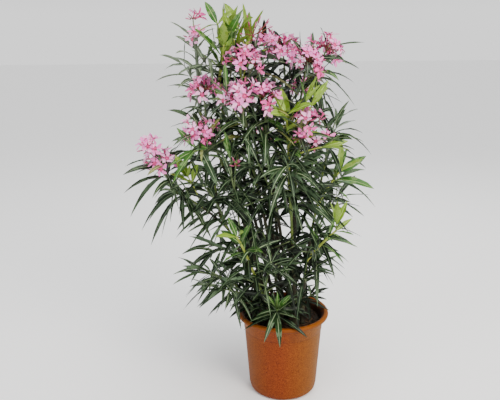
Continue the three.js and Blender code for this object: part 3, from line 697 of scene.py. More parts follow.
# A tone is the colours of one sort of leaf: its blade's shade and light, and where they differ from
# the usual its roughness and wax coat, its underside's shade and light, and its midrib.
Tone = namedtuple("Tone", "blade under midrib slot")
TONES = {
    # painted shade: the inner tone is near black, for leaves in the crown's core and at the plant's
    # foot where the crown's shade falls
    "inner": Tone(("060d07", "0c160b", 0.5, 0.02), ("172215", "202d1c"), "26341f", "foliage"),
    "deep": Tone(("0b180a", "162813", 0.42, 0.08), ("34462f", "465a3f"), "687c5c", "foliage"),
    "middle": Tone(("1c3018", "2b4424"), ("4a6042", "5e7457"), "93a57e", "foliage"),
    # painted sheen: the grey tone's pale grey-green stands in for the grey sheen on the long
    # arching leaves
    "grey": Tone(("465640", "607054"), ("64745c", "7a8870"), "a0ae92", "flowering_foliage"),
    "olive": Tone(("4a5320", "6c722c"), ("7d8658", "949c6c"), "b0b472", "flowering_foliage"),
    "fresh": Tone(("28521a", "427026"), ("587442", "6c8a50"), "98b06c", "young_foliage"),
    "young": Tone(("64861c", "88a834"), ("76923a", "8eaa4a"), "b0c86a", "young_foliage"),
}


# ------------------------------------------------------------------ canes and boughs
JOINT_SWELL = 0.07  # of a stem where leaves have been, over its radius
JOINT_SHARPNESS = 6
LUMPS_ROUND = 1.3  # times 2 pi, about how many lumps there are round a stem
LUMP_LENGTH = 22
LIMB_JOINT_SPACING = 46
SPRIG_JOINT_SPACING = 30
BARK_LUMPS = 0.12
GREEN_WOOD_LUMPS = 0.05
SHOOT_LUMPS = 0.04
TWIG_LUMPS = 0.03

lines = {}


def radius_at(share, form):
    swell = form.flare * np.maximum(0, 1 - share / form.flare_share) ** 2
    return mix(form.foot, form.tip, share) * (1 + swell)


def stem_rings(line, form, first, last, seed, lumps, joint_spacing):
    """Rings of a stem between two shares of its line. Lumps is how rough its skin is, as a share
    of its radius, and it swells a little at each joint where leaves have been."""
    steps = max(3, round(line.length * (last - first) / form.ring_spacing))
    share = np.linspace(first, last, steps + 1)
    centre, tangent, side, front = line.frame(share)
    side = np.broadcast_to(side, front.shape)
    joint = np.cos(2 * np.pi * (1 - share) * line.length / joint_spacing)
    swell = JOINT_SWELL * np.maximum(0, joint) ** JOINT_SHARPNESS
    radius = radius_at(share, form) * (1 + swell)
    angle = np.linspace(0, 2 * np.pi, form.sides, endpoint=False)
    skin = np.array([[noise.noise(Vector((math.cos(a) * LUMPS_ROUND,
                                          math.sin(a) * LUMPS_ROUND + seed,
                                          s * line.length / LUMP_LENGTH))) for a in angle]
                     for s in share])
    return tube(centre, side, front, radius[:, None] * (1 + lumps * skin), form.sides)


def raise_limb(limb, form, start, woody_pile, green_pile, number):
    """Adds a cane or bough: brown bark up to where the wood is still green."""
    line = CentreLine(start, limb.way, limb.length, limb.bow)
    lines[limb.name] = line
    if limb.woody > 0:
        rings = stem_rings(line, form, 0, limb.woody, number, BARK_LUMPS, LIMB_JOINT_SPACING)
        if form is CANE:
            rings[0, :, 2] = SOIL_TOP + GAP
        add_tube(woody_pile, rings)
    if limb.woody < 1:
        add_tube(green_pile, stem_rings(line, form, limb.woody, 1, number, GREEN_WOOD_LUMPS,
                                        LIMB_JOINT_SPACING))


woody, green_wood = Pile(), Pile()
for number, cane in enumerate(CANES):
    raise_limb(cane, CANE, (*cane.start, SOIL_TOP + GAP), woody, green_wood, number)
for number, bough in enumerate(BOUGHS):
    on, share = bough.start
    raise_limb(bough, BOUGH, lines[on].point(share), woody, green_wood, number + len(CANES))

# ------------------------------------------------------------------ leaves
Leaf = namedtuple("Leaf", "root way across length sag width roll twist")
leaves = {tone: [] for tone in TONES}
low_limit = np.array(cad_box[0]) / METRES - BOX_MARGIN
high_limit = np.array(cad_box[1]) / METRES + BOX_MARGIN


def spine(root, way, length, sag, shares):
    shares = shares[:, None]
    return root + way * length * shares - UP * sag * length * shares**2


def has_room(points, aside, above):
    """True where a leaf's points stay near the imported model's box and clear of the pot: aside of
    its rim, and above its mix, by those distances."""
    if (points < low_limit).any() or (points > high_limit).any():
        return False
    out = np.hypot(points[:, 0], points[:, 1])
    in_rim = ((out > RIM_INNER_RADIUS - RIM_MARGIN_INSIDE) & (out < RIM_RADIUS + aside)
              & (points[:, 2] < POT_HEIGHT + RIM_MARGIN_ABOVE))
    in_pot = (out < RIM_RADIUS + POT_MARGIN) & (points[:, 2] < SOIL_TOP + above)
    return not (in_rim | in_pot).any()


# The tones of a kind of shoot above a height on its stem, from the tip down. Beside each tone is
# the share of the leaves that it and the tones before it take up; the leaves that are left over
# go by their place in the crown.
KIND_TONES = {
    "crest": [(0.3, [("young", 0.75), ("fresh", 1)])],
    "bright": [(0, [("young", 0.75), ("fresh", 1)])],
    "spreading": [(0, [("young", 0.75), ("fresh", 1)])],
    "fresh": [(0.8, [("young", 0.4), ("fresh", 1)]), (0.45, [("fresh", 1)])],
    "rosette": [(0.7, [("fresh", 1)]), (0, [("middle", 0.55), ("deep", 1)])],
    # painted shade: most leaves at the plant's foot get the near-black inner tone
    "shade": [(0, [("inner", 0.7), ("deep", 1)])],
    "leafy": [(0, [("fresh", 0.7), ("middle", 1)])],
    "broad": [(0, [("fresh", 0.7), ("middle", 1)])],
    # painted sheen: the arching leaves are all dealt the grey tone
    "arching": [(0, [("grey", 1)])],
    "flowering": [(0.7, [("olive", 0.12), ("fresh", 0.25)])],
}
YOUNG_FROM = 0.4  # height on a young shoot from which its leaves are young or fresh
YOUNG_LESS = 0.1  # how far the share of young ones stays below that height
DEEP_SHARE = 0.66


def tone_of(kind, height, place, random):
    """Deals out a leaf's colour. New growth is at a stem's tip, and leaves in the crown's core
    are painted in shade, near black, darker than the same leaves further out."""
    pick = random()
    if kind == "young" and height > YOUNG_FROM:
        return "young" if pick < height - YOUNG_LESS else "fresh"
    dealt = next((tones for above, tones in KIND_TONES.get(kind, []) if height > above), [])
    for tone, up_to in dealt:
        if pick < up_to:
            return tone
    # painted shade: leaves near the crown's middle get the near-black inner tone
    crown_middle = SHADE_SHIFT * (place[2] - POT_HEIGHT)
    if math.hypot(place[0] - crown_middle, place[1]) < SHADE_RADIUS:
        return "inner"
    return "deep" if pick < DEEP_SHARE else "middle"


def leaf_whorls(line, first, spacing, most_step, kind, random):
    """Whorls of three, each turned against the one below: wide open and drooping low on the stem,
    upright at its tip. A leaf with no room turns aside, closes up and stays shorter."""
    habit = HABITS[kind]
    margins = OVER_POT_MARGINS if kind in POT_KINDS else CLEAR_OF_POT_MARGINS
    step = min(spacing / line.length, most_step)
    count = math.ceil((WHORL_TOP_SHARE - first) / step)
    for w in range(count):
        share = WHORL_TOP_SHARE - w * step
        point, tangent, side, front = line.frame(share)
        height = (share - first) / (WHORL_TOP_SHARE - first)
        for k in range(WHORL_LEAVES):
            around = (180 * w + 360 * k) / WHORL_LEAVES + spread(AROUND_SPREAD, random)
            around += WHORL_TURNS.get(kind, 0)
            opening = mix(*habit.open, height) + spread(OPEN_SPREAD, random)
            sag = mix(*habit.sag, height) * (1 + spread(SAG_SPREAD, random))
            size = mix(*habit.length, height) * (1 + spread(SIZE_SPREAD, random))
            roll, twist = spread(ROLL_SPREAD, random), spread(TWIST_SPREAD, random)
            for i in range(CROWDING_TRIES):
                angle = math.radians(around + CROWDING_TURN * (i if i % 2 == 0 else -i))
                lift = math.radians(opening * (1 - CROWDING_CLOSE * i))
                out = side * math.cos(angle) + front * math.sin(angle)
                across = np.cross(tangent, out)
                way = out * math.sin(lift) + tangent * math.cos(lift)
                length = size * (1 - CROWDING_SHORTEN * i)
                droop = sag * (1 - CROWDING_LIFT * i)
                run = spine(point, way, length, droop, LEAF_STATIONS[2:])
                if has_room(run, *margins):
                    width = length * mix(*habit.width, height)
                    width *= 1 + spread(WIDTH_SPREAD, random)
                    tone = tone_of(kind, height, run[3], random)
                    leaves[tone].append(
                        Leaf(point, way, across, length, droop, width, roll, twist))
                    break


def leaf_meshes(batch, blade, under, midrib):
    """Adds curved, folded blades with their undersides and midribs, all the leaves at once."""
    root, way, across, length, sag, width, roll, twist = (
        np.array(values).reshape(len(batch), 1, -1) for values in zip(*batch))
    s = LEAF_STATIONS[None, :, None]
    line = root + way * length * s - UP * sag * length * s**2
    tangent = unit(way - UP * 2 * sag * s)
    flat = unit(across - tangent * (across * tangent).sum(-1, keepdims=True))
    face = np.cross(tangent, flat)
    turn = roll + twist * (s - TWIST_PIVOT)
    flat, face = (flat * np.cos(turn) + face * np.sin(turn),
                  face * np.cos(turn) - flat * np.sin(turn))
    half = LEAF_OUTLINE[None, :, None] * width / 2
    rib = MIDRIB_HALF[None, :, None]
    wave = RIPPLE_HEIGHT * width * np.sin(RIPPLE_PHASE * s + RIPPLE_SHIFT * twist)
    wave = wave * LEAF_OUTLINE[None, :, None]
    left = line - flat * half + face * (BLADE_FOLD * half + wave)
    right = line + flat * half + face * (BLADE_FOLD * half - wave)
    rib_left, rib_right = line - flat * rib, line + flat * rib
    keel = line - face * BLADE_THICK[None, :, None]
    rows = len(LEAF_STATIONS)
    along = np.broadcast_to(length * s, (len(batch), rows, 1))
    zero = np.zeros_like(along)
    across_mm = np.broadcast_to(half, zero.shape)
    strips = [
        (blade, [left, rib_left], [-across_mm, zero]),
        (blade, [rib_right, right], [zero, across_mm]),
        (midrib, [rib_left, rib_right], [zero, zero]),
        (under, [right, keel, left], [across_mm, zero, -across_mm]),
    ]
    for pile, columns, places in strips:
        points = np.stack(columns, 2)
        uv = np.stack([np.concatenate([place, along], -1) for place in places], 2)
        single = grid_faces(rows, len(columns))
        offsets = np.arange(len(batch))[:, None, None] * rows * len(columns)
        pile.add(points, (single[None] + offsets).reshape(-1, 4), uv)


# ------------------------------------------------------------------ blossom
PETAL_PINKS = {
    "pale": ("f08cca", "fcc8e8"),
    "pink": ("ea5cb6", "f696d4"),
    "rose": ("dc3c94", "f070bc"),
}
PINKS_UP_TO = {"pale": 0.42, "pink": 0.82, "rose": 1}  # shares of the flowers, added up
PETAL_STATIONS = np.array([0, 0.22, 0.45, 0.68, 0.86, 1])
PETAL_OUTLINE = np.array([0.3, 0.44, 0.72, 0.98, 0.92, 0.45])
PETAL_COLUMNS = np.array([-1, -0.4, 0.4, 1])
PETALS = 5
PETAL_LENGTH = 18.5
PETAL_HALF = 6.8
PETAL_PLACE_SPREAD = 0.09  # radians round the flower
PETAL_OPEN_SPREAD = 0.16  # radians
PETAL_START_LEAN = 0.5  # radians from the flower's axis, where it leaves the tube
PETAL_BEND = 2.4  # how fast it bends: it has its full lean at 1 / PETAL_BEND of its length
PETAL_SLANT = 3.4  # how far its tip is swept round, like a pinwheel's
PETAL_SLANT_SPREAD = 0.8
PETAL_WIDTH_SPREAD = 0.1
PETAL_TILT = 0.28  # radians
PETAL_TILT_SPREAD = 0.12
PETAL_CUP = 0.9  # how far its long edges stand up near the tip
PETAL_TIP_CUT = 2.2  # how far one corner of its tip reaches past the middle
TUBE_LENGTH = 17
TUBE_MOUTH = 3.6
TUBE_RADII = np.array([1.1, 1.5, 2.2, TUBE_MOUTH])
TUBE_HEIGHTS = np.array([0, 0.35, 0.7, 1]) * TUBE_LENGTH
TUBE_SIDES = 8
FRINGE_ANGLES = (-0.36, 0, 0.36)
FRINGE_RISE = 3.6
FRINGE_OUT = 1.8
FRINGE_HALF = 0.9
# A sepal's points and a bud's rings. A point is how far out, to the side and up it is.
SEPAL = [(0.4, 0, -1.5), (1.7, 0.9, 1), (1.7, -0.9, 1), (2.1, 0, 5)]
BUD_RADII = np.array([0.9, 1.5, 2.1, 2.3, 1.5, 0.2])
BUD_HEIGHTS = np.array([0, 4, 9, 13, 17, 20])
BUD_SIDES = 6
BUD_WINDING = 1.8  # radians from foot to tip
BUD_CALYX = 0.9  # a bud's calyx over a flower's
STALK_SIDES = 5
STALK_RINGS = 6
PEDUNCLE_RADII = (1.9, 1.6)
BRANCH_RADII = (1.5, 1.1)
PEDICEL_RADII = (1.3, 0.95)

# How a cyme is set out. Turns are in radians, and the other numbers are shares of its reach or of
# a stalk's length, or a flower's size over the usual, unless a comment says otherwise.
CYME_FORKS = 5
CYME_TURN = 2.39996  # from one flower to the next, so that none stands over another
CYME_TURN_SPREAD = 0.5
BUD_LEVEL = 0.78  # how far down the cyme buds reach, where flowers reach 1
LOWEST_RISE = -0.05  # of the lowest flower's direction, where 1 is straight up the shoot
FLOWER_NEAREST = 0.5
FORK_RISE = 0.55
FORK_OUT = 0.6
FORK_REACH = 0.42
LEAST_STALK = 8  # millimetres
BUD_STALK = 0.85
FLOWER_STALK = 0.7
FACING_UP = 0.15  # how much a flower turns up, and aside, from its stalk's direction
FACING_SPREAD = 0.35
BUD_SIZES = (0.55, 1.05)
FLOWER_SIZES = (0.85, 1.08)
FLOWER_OPENINGS = (62, 96)  # degrees

petals = {pink: Pile() for pink in PETAL_PINKS}
throats, buds, calyces, flower_stalks = Pile(), Pile(), Pile(), Pile()


def square_frame(axis):
    """Two directions square to an axis and to each other."""
    helper = np.array([1.0, 0, 0]) if abs(axis[0]) < 0.8 else np.array([0, 1.0, 0])
    side = unit(np.cross(axis, helper))
    return side, np.cross(axis, side)


def add_round(pile, root, axis, radii, heights, count, twist=0.0):
    """A small round thing along an axis, such as a bud, a tube or a stalk."""
    side, front = square_frame(axis)
    turn = twist * np.linspace(0, 1, len(heights))[:, None]
    sides = side * np.cos(turn) + front * np.sin(turn)
    fronts = front * np.cos(turn) - side * np.sin(turn)
    centres = root + axis * np.asarray(heights, float)[:, None]
    add_tube(pile, tube(centres, sides, fronts, radii, count))


def add_stalk(start, end, lift, radii):
    """A thin stalk from start to end that leaves start along lift, thinning from foot to tip."""
    t = np.linspace(0, 1, STALK_RINGS)[:, None]
    knee = start + lift * np.linalg.norm(end - start) / 2
    centres = start * (1 - t) ** 2 + knee * 2 * t * (1 - t) + end * t * t
    tangent = unit((knee - start) * (1 - t) + (end - knee) * t)
    side = unit(np.cross(tangent, square_frame(unit(end - start))[1]))
    add_tube(flower_stalks, tube(centres, side, np.cross(tangent, side), mix(*radii, t[:, 0]),
                                 STALK_SIDES))


def add_calyx(root, axis, size, random):
    """Five pointed sepals round the foot of a flower or bud."""
    side, front = square_frame(axis)
    start = random() * 2 * np.pi
    for k in range(PETALS):
        a = start + k * 2 * np.pi / PETALS
        out = side * math.cos(a) + front * math.sin(a)
        wide = np.cross(axis, out)
        points = [root + (out * outward + wide * sideways + axis * upward) * size
                  for outward, sideways, upward in SEPAL]
        calyces.add(points, [[0, 1, 3], [0, 3, 2], [0, 2, 1]])


def add_flower(root, axis, opening, size, pink, random):
    """A tube that opens into five blunt petals, each set aslant like a pinwheel's, with a fringe
    standing in its throat."""
    side, front = square_frame(axis)
    start = random() * 2 * np.pi
    add_calyx(root, axis, size, random)
    add_round(throats, root, axis, TUBE_RADII * size, TUBE_HEIGHTS * size, TUBE_SIDES)
    s = PETAL_STATIONS
    for k in range(PETALS):
        a = start + k * 2 * np.pi / PETALS + spread(PETAL_PLACE_SPREAD, random)
        out = side * math.cos(a) + front * math.sin(a)
        wide = np.cross(axis, out)
        open_here = opening + spread(PETAL_OPEN_SPREAD, random)
        lean = mix(PETAL_START_LEAN, open_here, np.minimum(1, s * PETAL_BEND))
        run = np.diff(s, prepend=0) * PETAL_LENGTH
        forward = np.cumsum(run * np.sin(lean)) + TUBE_MOUTH * 0.9
        rise = np.cumsum(run * np.cos(lean)) + TUBE_LENGTH
        slant = PETAL_SLANT * s**2 + spread(PETAL_SLANT_SPREAD, random) * s
        centre = (root + (out * forward[:, None] + axis * rise[:, None]
                          + wide * slant[:, None]) * size)
        half = PETAL_OUTLINE * PETAL_HALF * (1 + spread(PETAL_WIDTH_SPREAD, random))
        tilt = PETAL_TILT + spread(PETAL_TILT_SPREAD, random)
        across = wide * math.cos(tilt) + axis * math.sin(tilt)
        cup = (PETAL_COLUMNS**2)[None, :, None] * axis * (PETAL_CUP * s * size)[:, None, None]
        cut = s**3 * PETAL_TIP_CUT
        tip_cut = (PETAL_COLUMNS[None, :] * cut[:, None])[..., None] * out * size
        grid = (centre[:, None] + across * (half[:, None] * PETAL_COLUMNS)[..., None] * size
                + cup + tip_cut)
        uv = np.stack(np.broadcast_arrays(half[:, None] * PETAL_COLUMNS,
                                          (s * PETAL_LENGTH)[:, None]), -1)
        columns = len(PETAL_COLUMNS)
        petals[pink].add(grid[1:], grid_faces(len(s) - 1, columns), uv[1:])
        throats.add(grid[:2], grid_faces(2, columns), uv[:2])
        # The fringe: three teeth in front of each petal.
        for tooth in FRINGE_ANGLES:
            b = a + tooth
            spoke = side * math.cos(b) + front * math.sin(b)
            base = root + (axis * TUBE_LENGTH + spoke * TUBE_MOUTH) * size
            tip = base + (axis * FRINGE_RISE + spoke * (FRINGE_OUT + random())) * size
            breadth = np.cross(axis, spoke) * FRINGE_HALF * size
            throats.add([base - breadth, base + breadth, tip], [[0, 1, 2]])


def add_bud(root, axis, size, random):
    """A furled bud: a slim spindle, its petals wound round each other."""
    add_calyx(root, axis, size * BUD_CALYX, random)
    add_round(buds, root, axis, BUD_RADII * size, BUD_HEIGHTS * size, BUD_SIDES, BUD_WINDING)


def add_cyme(line, cyme, random):
    """A branching head of flowers at a shoot's tip: stalks fork from one point into a few
    branches, each with open flowers outside and buds further in."""
    tip, tangent = line.point(1), line.tangent(1)
    hub = tip + tangent * cyme.rise
    add_stalk(tip - tangent * 4, hub, tangent, PEDUNCLE_RADII)
    side, front = square_frame(tangent)
    total = cyme.flowers + cyme.buds
    for i in range(total):
        is_bud = math.floor((i + 1) * cyme.buds / total) > math.floor(i * cyme.buds / total)
        height = 1 - (i + 0.5) / total * (BUD_LEVEL if is_bud else 1)
        around = i * CYME_TURN + spread(CYME_TURN_SPREAD, random)
        lean = math.acos(mix(LOWEST_RISE, 1, height))
        out = side * math.cos(around) + front * math.sin(around)
        axis = unit(tangent * math.cos(lean) + out * math.sin(lean))
        distance = cyme.reach * mix(FLOWER_NEAREST, 1, random())
        fork_step = 2 * np.pi / CYME_FORKS
        fork_angle = round(around / fork_step) * fork_step
        fork_out = side * math.cos(fork_angle) + front * math.sin(fork_angle)
        fork_way = tangent * FORK_RISE + fork_out * FORK_OUT * math.sin(lean)
        fork = hub + fork_way * cyme.reach * FORK_REACH
        stalk = max(LEAST_STALK, distance - TUBE_LENGTH) * (BUD_STALK if is_bud else FLOWER_STALK)
        stalk_end = hub + axis * stalk
        if i < CYME_FORKS * 2:
            add_stalk(hub, fork, tangent, BRANCH_RADII)
        add_stalk(fork, stalk_end, axis, PEDICEL_RADII)
        aside = np.array([spread(FACING_SPREAD, random) for _ in range(3)])
        facing = unit(axis + UP * FACING_UP + aside)
        if is_bud:
            add_bud(stalk_end, facing, mix(*BUD_SIZES, random()), random)
            continue
        pick = random()
        pink = next(name for name, up_to in PINKS_UP_TO.items() if pick < up_to)
        opening = math.radians(mix(*FLOWER_OPENINGS, random()))
        add_flower(stalk_end, facing, opening, mix(*FLOWER_SIZES, random()), pink, random)


# ------------------------------------------------------------------ shoots
shoot_green, shoot_young, shoot_grey = Pile(), Pile(), Pile()


def twig_lines(shoot, line, twigs, random):
    """Side twigs leave the stem on alternate sides, leaning further out than it does."""
    heading, lean = shoot.way
    for at, side, share in twigs:
        length = shoot.length * share * (1 + spread(TWIG_LENGTH_SPREAD, random))
        twig_heading = heading + side * mix(*TWIG_TURN, random())
        twig_lean = min(lean + mix(*TWIG_LEAN, random()), TWIG_MOST_LEAN)
        yield CentreLine(line.point(at), (twig_heading, twig_lean), length, 0)


for index, shoot in enumerate(SHOOTS):
    on, share = shoot.start
    line = CentreLine(lines[on].point(share), shoot.way, shoot.length, shoot.bow)
    lines[shoot.name] = line
    random = seeded_random(FIRST_SEED + SEED_STEP * index)
    finer = seeded_random(FINER_SEED + SEED_STEP * index)
    form, pile = SHOOT, shoot_green
    if shoot.kind in YOUNG_KINDS:
        form, pile = YOUNG_SHOOT, shoot_young
    elif shoot.kind == "arching":
        form, pile = STOUT_SHOOT, shoot_grey
    habit = HABITS[shoot.kind]
    add_tube(pile, stem_rings(line, form, 0, 1, index, SHOOT_LUMPS, habit.spacing))
    twigs = [*twig_lines(shoot, line, SIDE_TWIGS, random),
             *twig_lines(shoot, line, FINER_TWIGS[:shoot.finer], finer)]
    leaf_whorls(line, habit.leafy_from, habit.spacing, SHOOT_MOST_STEP, shoot.kind, random)
    if shoot.kind != "rosette":
        twig_kind = TWIG_KINDS.get(shoot.kind, shoot.kind)
        twig_pile = shoot_grey if twig_kind == "arching" else shoot_green
        spacing = HABITS[twig_kind].twig_spacing
        for twig in twigs:
            add_tube(twig_pile, stem_rings(twig, TWIG, 0, 1, index, TWIG_LUMPS, spacing))
            leaf_whorls(twig, TWIG_LEAFY_FROM, spacing, TWIG_MOST_STEP, twig_kind, finer)
    if shoot.cyme:
        add_cyme(line, shoot.cyme, finer)

for index, sprig in enumerate(SPRIGS):
    on, share = sprig.start
    line = CentreLine(lines[on].point(share), sprig.way, sprig.length, sprig.bow)
    random = seeded_random(SPRIG_SEED + SEED_STEP * index)
    pile = shoot_young if sprig.kind in YOUNG_KINDS else shoot_green
    add_tube(pile, stem_rings(line, TWIG, 0, 1, index, TWIG_LUMPS, SPRIG_JOINT_SPACING))
    if sprig.kind in HABITS:
        habit = HABITS[sprig.kind]
        leaf_whorls(line, habit.leafy_from, habit.spacing, SHOOT_MOST_STEP, sprig.kind, random)
    if sprig.cyme:
        add_cyme(line, sprig.cyme, random)

shoot_names = [shoot.name for shoot in SHOOTS]
limb_names = [limb.name for limb in [*CANES, *BOUGHS]]
make_piece("canes_bark", woody, cane_bark(), "bark", limb_names)
make_piece("canes_green", green_wood,
           plant_skin("green_wood", "50642a", "7a8c40", 30, 0.55), "bark", limb_names)
make_piece("shoot_stems", shoot_green,
           plant_skin("shoot_skin", "4f6238", "75865a", 20, 0.5), "foliage", shoot_names)
make_piece("young_stems", shoot_young,
           plant_skin("young_shoot_skin", "8c9c34", "b4be58", 20, 0.45), "young_foliage",
           shoot_names)
make_piece("grey_stems", shoot_grey,
           plant_skin("grey_shoot_skin", "566450", "7a8872", 20, 0.55), "flowering_foliage",
           shoot_names)
for name, tone in TONES.items():
    blade, under, midrib = Pile(), Pile(), Pile()
    leaf_meshes(leaves[name], blade, under, midrib)
    make_piece(f"leaf_blades_{name}", blade, leaf_blade(f"leaf_blade_{name}", *tone.blade),
               tone.slot, shoot_names)
    make_piece(f"leaf_undersides_{name}", under,
               leaf_underside(f"leaf_underside_{name}", *tone.under), tone.slot, shoot_names)
    make_piece(f"leaf_midribs_{name}", midrib,
               plant_skin(f"leaf_midrib_{name}", tone.midrib, tone.midrib, 20, 0.5),
               tone.slot, shoot_names)

flowering = [shoot.name for shoot in SHOOTS if shoot.cyme]
for name, pile in petals.items():
    make_piece(f"petals_{name}", pile, petal_skin(f"petal_{name}", *PETAL_PINKS[name]),
               "blossom", flowering)
make_piece("flower_throats", throats, petal_skin("petal_throat", "b81c62", "dc5090"),
           "blossom", flowering)
make_piece("flower_buds", buds, plant_skin("bud_skin", "98305c", "cc6c94", 6, 0.5),
           "blossom", flowering)
make_piece("flower_calyces", calyces, plant_skin("calyx_skin", "4c1d22", "73332f", 6, 0.55),
           "blossom", flowering)
make_piece("flower_stalks", flower_stalks,
           plant_skin("flower_stalk_skin", "6a2e26", "8a5238", 12, 0.55), "blossom", flowering)

# ------------------------------------------------------------------ pot
POT_SIDES = 144


def arc_points(centre, radius, first, last, steps):
    angle = np.radians(np.linspace(first, last, steps + 1))
    return [(centre[0] + radius * math.cos(a), centre[1] + radius * math.sin(a)) for a in angle]


def wall_radius(height):
    return mix(BASE_RADIUS, WALL_TOP_RADIUS, height / POT_HEIGHT)


def turned(profile, count):
    """Points of a profile of radius and height, turned round the upright axis."""
    profile = np.asarray(profile, float)
    angle = np.linspace(0, 2 * np.pi, count, endpoint=False)
    return np.stack([profile[:, 0, None] * np.cos(angle), profile[:, 0, None] * np.sin(angle),
                     np.broadcast_to(profile[:, 1, None], (len(profile), count))], -1)


def pot_profile():
    """From the middle of the underside out, up, over the rolled rim and down inside."""
    rim_round = RIM_DEPTH / 2
    corner = (wall_radius(0) - BASE_CORNER, BASE_CORNER)
    wall = [(wall_radius(h), h) for h in np.linspace(BASE_CORNER + 6, COLLAR_FOOT - 1, 10)]
    return [
        (0.01, 0), (corner[0] * 0.6, 0), (corner[0] - 2, 0),
        *arc_points(corner, BASE_CORNER, -90, -5, 8),
        *wall,
        (wall_radius(COLLAR_FOOT) + 0.2, COLLAR_FOOT),
        (wall_radius(COLLAR_FOOT) + COLLAR_STEP, COLLAR_FOOT + COLLAR_STEP),
        (wall_radius(RIM_FOOT) + COLLAR_STEP, RIM_FOOT - 1.5),
        (wall_radius(RIM_FOOT) + COLLAR_STEP + 1.5, RIM_FOOT),
        (RIM_RADIUS - rim_round - 2, RIM_FOOT),
        *arc_points((RIM_RADIUS - rim_round, POT_HEIGHT - rim_round), rim_round, -80, 90, 12),
        (RIM_INNER_RADIUS + 1.5, POT_HEIGHT - 0.4),
        (RIM_INNER_RADIUS, POT_HEIGHT - 2),
        (wall_radius(RIM_FOOT) - WALL, RIM_FOOT),
        (wall_radius(SOIL_TOP) - WALL, SOIL_TOP - 12),
    ]


INSIDE_POINTS = 3
profile = pot_profile()
for name, points, finish in [
        ("pot_shell", profile[:1 - INSIDE_POINTS], pot_polypropylene()),
        ("pot_inside", profile[-INSIDE_POINTS:], shaded_polypropylene())]:
    shell = Pile()
    shell.add(turned(points, POT_SIDES), grid_faces(len(points), POT_SIDES, wrap=True))
    make_piece(name, shell, finish, "pot_plastic", ["pot"])

# ------------------------------------------------------------------ potting mix
MIX_RINGS = 60
MIX_SIDES = 150
MIX_SINK = 3.5  # how far its surface lies under SOIL_TOP, between its ups and downs
LUMP_WIDTH, LUMP_RISE = 9, 2.2
FINE_LUMP_WIDTH, FINE_LUMP_RISE = 3, 1.1
EDGE_WIDTH, EDGE_DROP = 12, 2  # where the mix falls away to the wall
SCATTER_SEED = 7001
CRUMBS = 900
CRUMB_SIZES = (1.2, 4.2)
CRUMB_STRETCH = (0.7, 1.3)
LITTER = 70
LITTER_LENGTHS = (14, 46)
LITTER_WIDTHS = (0.04, 0.09)  # over its length
LITTER_TILT = 0.12
LITTER_ARCH = 3
LITTER_STATIONS = 6
mix_pile = Pile()
mix_radius = wall_radius(SOIL_TOP) - WALL - GAP
soil_radii = np.linspace(0.5, mix_radius, MIX_RINGS)
surface = turned([(r, SOIL_TOP) for r in soil_radii], MIX_SIDES)
for ring in surface:
    for point in ring:
        lump = noise.noise(Vector((point[0] / LUMP_WIDTH, point[1] / LUMP_WIDTH, 0)))
        fine = noise.noise(Vector((point[0] / FINE_LUMP_WIDTH, point[1] / FINE_LUMP_WIDTH, 5)))
        edge = min(1, (mix_radius - math.hypot(point[0], point[1])) / EDGE_WIDTH)
        point[2] += -MIX_SINK + LUMP_RISE * lump + FINE_LUMP_RISE * fine - EDGE_DROP * (1 - edge)
mix_pile.add(surface, grid_faces(MIX_RINGS, MIX_SIDES, wrap=True))
make_piece("mix_surface", mix_pile, crumbled("peat_mix", "120e0a", "33261b", 5), "potting_mix",
           ["potting_mix"])

CRUMB_CORNERS = np.array([[1, 0, 0], [-1, 0, 0], [0, 1, 0], [0, -1, 0], [0, 0, 1], [0, 0, -1]])
CRUMB_FACES = [[0, 2, 4], [2, 1, 4], [1, 3, 4], [3, 0, 4], [2, 0, 5], [1, 2, 5], [3, 1, 5],
               [0, 3, 5]]
crumbs, litter = Pile(), Pile()
scatter = seeded_random(SCATTER_SEED)


def scattered(reach, height):
    """A random point over the mix, within a share of its radius and at a height."""
    out = mix_radius * math.sqrt(scatter()) * reach
    angle = scatter() * 2 * math.pi
    return np.array([out * math.cos(angle), out * math.sin(angle), height])


for _ in range(CRUMBS):
    place = scattered(0.96, SOIL_TOP - 3.4)
    size = mix(*CRUMB_SIZES, scatter() ** 2)
    stretch = np.array([mix(*CRUMB_STRETCH, scatter()) for _ in range(CRUMB_CORNERS.size)])
    corners = CRUMB_CORNERS * size * stretch.reshape(CRUMB_CORNERS.shape)
    crumbs.add(corners + place + UP * size / 3, CRUMB_FACES)
for _ in range(LITTER):
    start = scattered(0.9, SOIL_TOP + 1)
    heading = scatter() * 2 * math.pi
    length = mix(*LITTER_LENGTHS, scatter())
    way = np.array([math.cos(heading), math.sin(heading), spread(LITTER_TILT, scatter)])
    start = start + UP * 2 * scatter()
    if np.hypot(*(start + way * length)[:2]) > mix_radius - 2:
        continue
    s = np.linspace(0, 1, LITTER_STATIONS)[:, None]
    middle = start + way * length * s + UP * LITTER_ARCH * np.sin(s * np.pi)
    half = mix(*LITTER_WIDTHS, scatter()) * length * np.sin(s * np.pi * 0.9 + 0.15)
    wide = np.cross(way, UP) * half
    litter.add(np.stack([middle - wide + UP, middle, middle + wide + UP], 1),
               grid_faces(LITTER_STATIONS, 3))
make_piece("mix_crumbs", crumbs, crumbled("peat_crumb", "1a130d", "4a3725", 3), "potting_mix")
make_piece("dry_litter", litter, crumbled("dry_leaf", "2a1c12", "5a4026", 8), "potting_mix")


# ------------------------------------------------------------------ stage, light and camera
def pale_floor():
    """Studio floor paint: plain, matt and near white."""
    material, tree, _ = new_material("floor_paint")
    finish_with(tree, {"Base Color": linear("ffffff"), "Roughness": 0.9})
    return material


